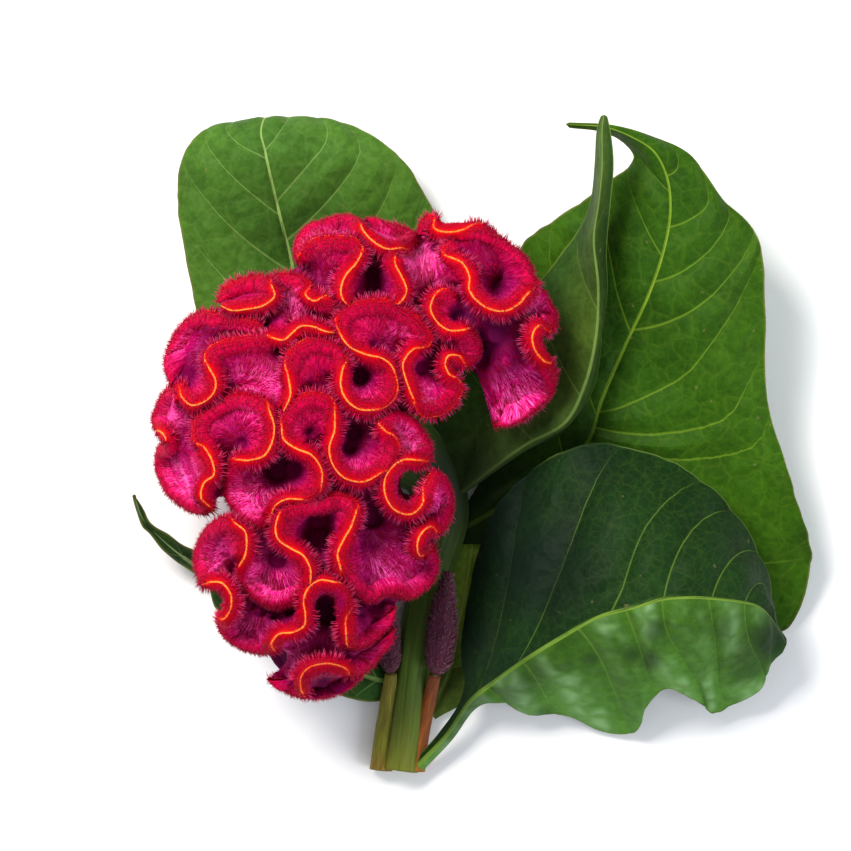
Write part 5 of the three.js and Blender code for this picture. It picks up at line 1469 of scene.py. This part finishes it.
LEAVES = {  # control points, form and colours of each leaf; side veins as in side_vein_phase
    "leaf_upper_left": (UPPER_LEFT_LEAF, dict(
        grid=(130, 101), bulge=0.06, wave=1, waves=3, turned=True,
        left=[(0.16, 0.22, 0.34), (0.28, 0.37, 0.51), (0.4, 0.5, 0.66), (0.515, 0.635, 0.79),
              (0.65, 0.75, 0.89)],
        right=[(0.24, 0.33, 0.53), (0.36, 0.45, 0.68), (0.462, 0.59, 0.8), (0.544, 0.7, 0.86),
               (0.68, 0.87, 0.95)],
    ), dict(inner=(66, 108, 34), outer=(72, 114, 34), vein=(132, 162, 84), under=(120, 146, 96))),
    "leaf_upper_right": (UPPER_RIGHT_LEAF, dict(
        grid=(190, 121), bulge=0.05, wave=1, waves=5,
        left=[(0.22, 0.28, 0.36), (0.33, 0.4, 0.49), (0.444, 0.515, 0.62), (0.562, 0.62, 0.73),
              (0.68, 0.74, 0.83)],
        right=[(0.19, 0.27, 0.36), (0.285, 0.385, 0.49), (0.312, 0.42, 0.54), (0.335, 0.5, 0.63),
               (0.449, 0.557, 0.65), (0.52, 0.617, 0.71), (0.612, 0.675, 0.765), (0.72, 0.77, 0.85)],
    ), dict(inner=(46, 86, 10), outer=(52, 92, 8), vein=(118, 150, 40), under=(104, 136, 76))),
    "leaf_lower_right": (LOWER_RIGHT_LEAF, dict(
        grid=(184, 131), bulge=0.06, wave=0.8, waves=6, quilt=2.2, shaded=DEEP_SHADE + DIM_LOBES,
        left=[(0.14, 0.3, 0.46), (0.27, 0.46, 0.62), (0.45, 0.615, 0.73), (0.572, 0.69, 0.78),
              (0.7, 0.78, 0.84), (0.8, 0.85, 0.9)],
        right=[(0.2, 0.215, 0.23), (0.288, 0.31, 0.327), (0.39, 0.44, 0.49), (0.48, 0.535, 0.62),
               (0.568, 0.625, 0.75), (0.69, 0.745, 0.81), (0.8, 0.84, 0.89)],
    ), dict(inner=(68, 112, 28), outer=(82, 134, 42), vein=(108, 140, 48), under=(96, 128, 76),
            # Painted shade over the upper half, which faces away from the light, and painted highlight on
            # the lower half's swellings.
            upper=(21, 53, 15), highlight_colour=(140, 182, 122), highlight_share=0.7, painted_shade_colour=(10, 23, 19),
            rim=(96, 120, 50))),
    "leaf_folded": (FOLDED_LEAF, dict(
        grid=(150, 61), bulge=-0.05, wave=0.5, waves=4,
        **alike((0.2, 0.25, 0.3), (0.34, 0.4, 0.46), (0.5, 0.56, 0.62), (0.66, 0.72, 0.78)),
    ), dict(inner=(74, 100, 32), outer=(48, 82, 26), vein=(104, 128, 60), under=(104, 134, 88),
            painted_shade_colour=(32, 46, 22), rim=(130, 150, 60))),
    "leaf_left": (LEFT_LEAF, dict(
        grid=(120, 45), bulge=0.08, wave=0.6, waves=4, turned=True,
        **alike((0.2, 0.23, 0.26), (0.35, 0.38, 0.42), (0.5, 0.53, 0.56)),
    ), dict(inner=(34, 60, 26), outer=(40, 70, 28), vein=(110, 132, 84), under=(90, 118, 70))),
    "leaf_small": (SMALL_LEAF, dict(
        grid=(60, 45), bulge=0.08, wave=0.6, waves=2, **alike((0.25, 0.33, 0.4), (0.5, 0.58, 0.65)),
    ), dict(inner=(40, 76, 26), outer=(44, 82, 30), vein=(110, 140, 70), under=(90, 118, 70))),
    "leaf_back": (BACK_LEAF, dict(
        grid=(80, 45), bulge=0.06, wave=0.4, waves=2, shaded=[[-6, -78, 15, 0.8], [4, -24, 8, 0.9]],
        **alike((0.2, 0.25, 0.3), (0.45, 0.5, 0.55), (0.7, 0.75, 0.8)),
    ), dict(inner=(146, 176, 60), outer=(132, 162, 50), vein=(160, 176, 84), under=(90, 118, 70),
            painted_shade_colour=(20, 30, 10))),
}


STEM_COLOURS = dict(foot=(112, 112, 34), middle=(72, 96, 34), top=(66, 92, 36))
STALKS = {
    "left": (LEFT_STALK_PATH, dict(foot=(116, 86, 36), middle=(116, 114, 36), top=(104, 90, 38))),
    "right": (RIGHT_STALK_PATH, dict(foot=(138, 96, 32), middle=(136, 74, 28), top=(96, 50, 36))),
}
SPIKES = {"left": LEFT_SPIKE_PATH, "right": RIGHT_SPIKE_PATH}
SPIKE_COLOURS = dict(foot=(80, 40, 46), middle=(72, 28, 48), top=(88, 40, 60))


def build_flower():
    velvet, hair = comb_shader(), hair_shader()
    folds = [Fold(*fold) for fold in FOLDS]
    build_comb(folds, velvet, hair)
    build_bowls(folds, velvet, hair)
    build_heart(velvet)
    for index, (node, (stations, form, colours)) in enumerate(LEAVES.items()):
        rng = np.random.default_rng(SEED + 100 + index)
        build_leaf(node, stations, form, leaf_shader(node + "_skin", **colours), rng)
    build_rod("stem_main", "stem", STEM_PATH, stem_shader("stem_skin", **STEM_COLOURS))
    for side, (path, colours) in STALKS.items():
        skin = stem_shader(f"stalk_{side}_skin", **colours)
        build_rod("stem_stalk_" + side, "stem", path, skin, flutes=4, **SLIM_GRID)
    core, floret = stem_shader("spike_core_skin", **SPIKE_COLOURS), floret_shader()
    rng = np.random.default_rng(SEED + 50)
    for side, path in SPIKES.items():
        build_spike("side_spike_" + side, path, core, floret, rng)


# ---- Floor, light and camera ------------------------------------------------------------------

PHOTO_PIXELS = 851
PIXEL = 0.31  # mm on the part, at the height of the middle of the comb
PHOTO_ORIGIN = (474, 442)  # pixel of the part's own origin
FOCUS_HEIGHT = 40
CAMERA_DISTANCE = 3000
SENSOR_WIDTH = 36
CAMERA_REACH = 20  # metres
FLOOR_REACH = 4  # metres
WORLD_STRENGTH = 0.55
SOFTBOX_TARGET = (-0.01, 0, 0.03)
SOFTBOXES = {  # places in metres
    "key": dict(place=(-0.5, 0.6, 1.0), size=0.5, watts=19.5, rgb=(255, 250, 244)),
    "fill": dict(place=(0.9, -0.5, 0.8), size=0.6, watts=6.5, rgb=(240, 246, 255)),
}


def add_object(name, data):
    thing = bpy.data.objects.new(name, data)
    bpy.context.scene.collection.objects.link(thing)
    return thing


def build_floor():
    paint = Shader("floor_paint", Roughness=0.9, Specular_IOR_Level=0.1)
    paint.surface.inputs["Base Color"].default_value = colour(252, 252, 252)
    mesh = bpy.data.meshes.new("floor")
    corners = [(FLOOR_REACH * x, FLOOR_REACH * y, 0) for x, y in ((-1, -1), (1, -1), (1, 1), (-1, 1))]
    mesh.from_pydata(corners, [], [(0, 1, 2, 3)])
    mesh.materials.append(paint.material)
    add_object("floor", mesh)


def add_softbox(name, place, size, watts, rgb):
    light = bpy.data.lights.new(name, "AREA")
    light.size = size
    light.energy = watts
    light.color = colour(*rgb)[:3]
    box = add_object(name, light)
    box.location = place
    toward = Vector(SOFTBOX_TARGET) - Vector(place)
    box.rotation_mode = "QUATERNION"
    box.rotation_quaternion = toward.to_track_quat("-Z", "Y")


def build_camera():
    """Looks straight down, and frames what the photo does."""
    camera = bpy.data.cameras.new("camera")
    camera.sensor_width = SENSOR_WIDTH
    camera.lens = SENSOR_WIDTH * (CAMERA_DISTANCE - FOCUS_HEIGHT) / (PHOTO_PIXELS * PIXEL)
    camera.clip_end = CAMERA_REACH
    eye = add_object("camera", camera)
    centre_x = (PHOTO_PIXELS / 2 - PHOTO_ORIGIN[0]) * PIXEL
    centre_y = (PHOTO_ORIGIN[1] - PHOTO_PIXELS / 2) * PIXEL
    eye.location = (centre_x * MM, centre_y * MM, CAMERA_DISTANCE * MM)
    bpy.context.scene.camera = eye


def build_studio():
    build_floor()
    world = bpy.data.worlds.new("studio")
    world.use_nodes = True
    background = world.node_tree.nodes["Background"]
    background.inputs["Color"].default_value = colour(240, 244, 250)
    background.inputs["Strength"].default_value = WORLD_STRENGTH
    bpy.context.scene.world = world
    for name, form in SOFTBOXES.items():
        add_softbox(name, **form)
    bpy.context.scene.view_settings.view_transform = "Standard"
    build_camera()


for cad_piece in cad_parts.values():
    cad_piece.hide_render = True
build_flower()
build_studio()
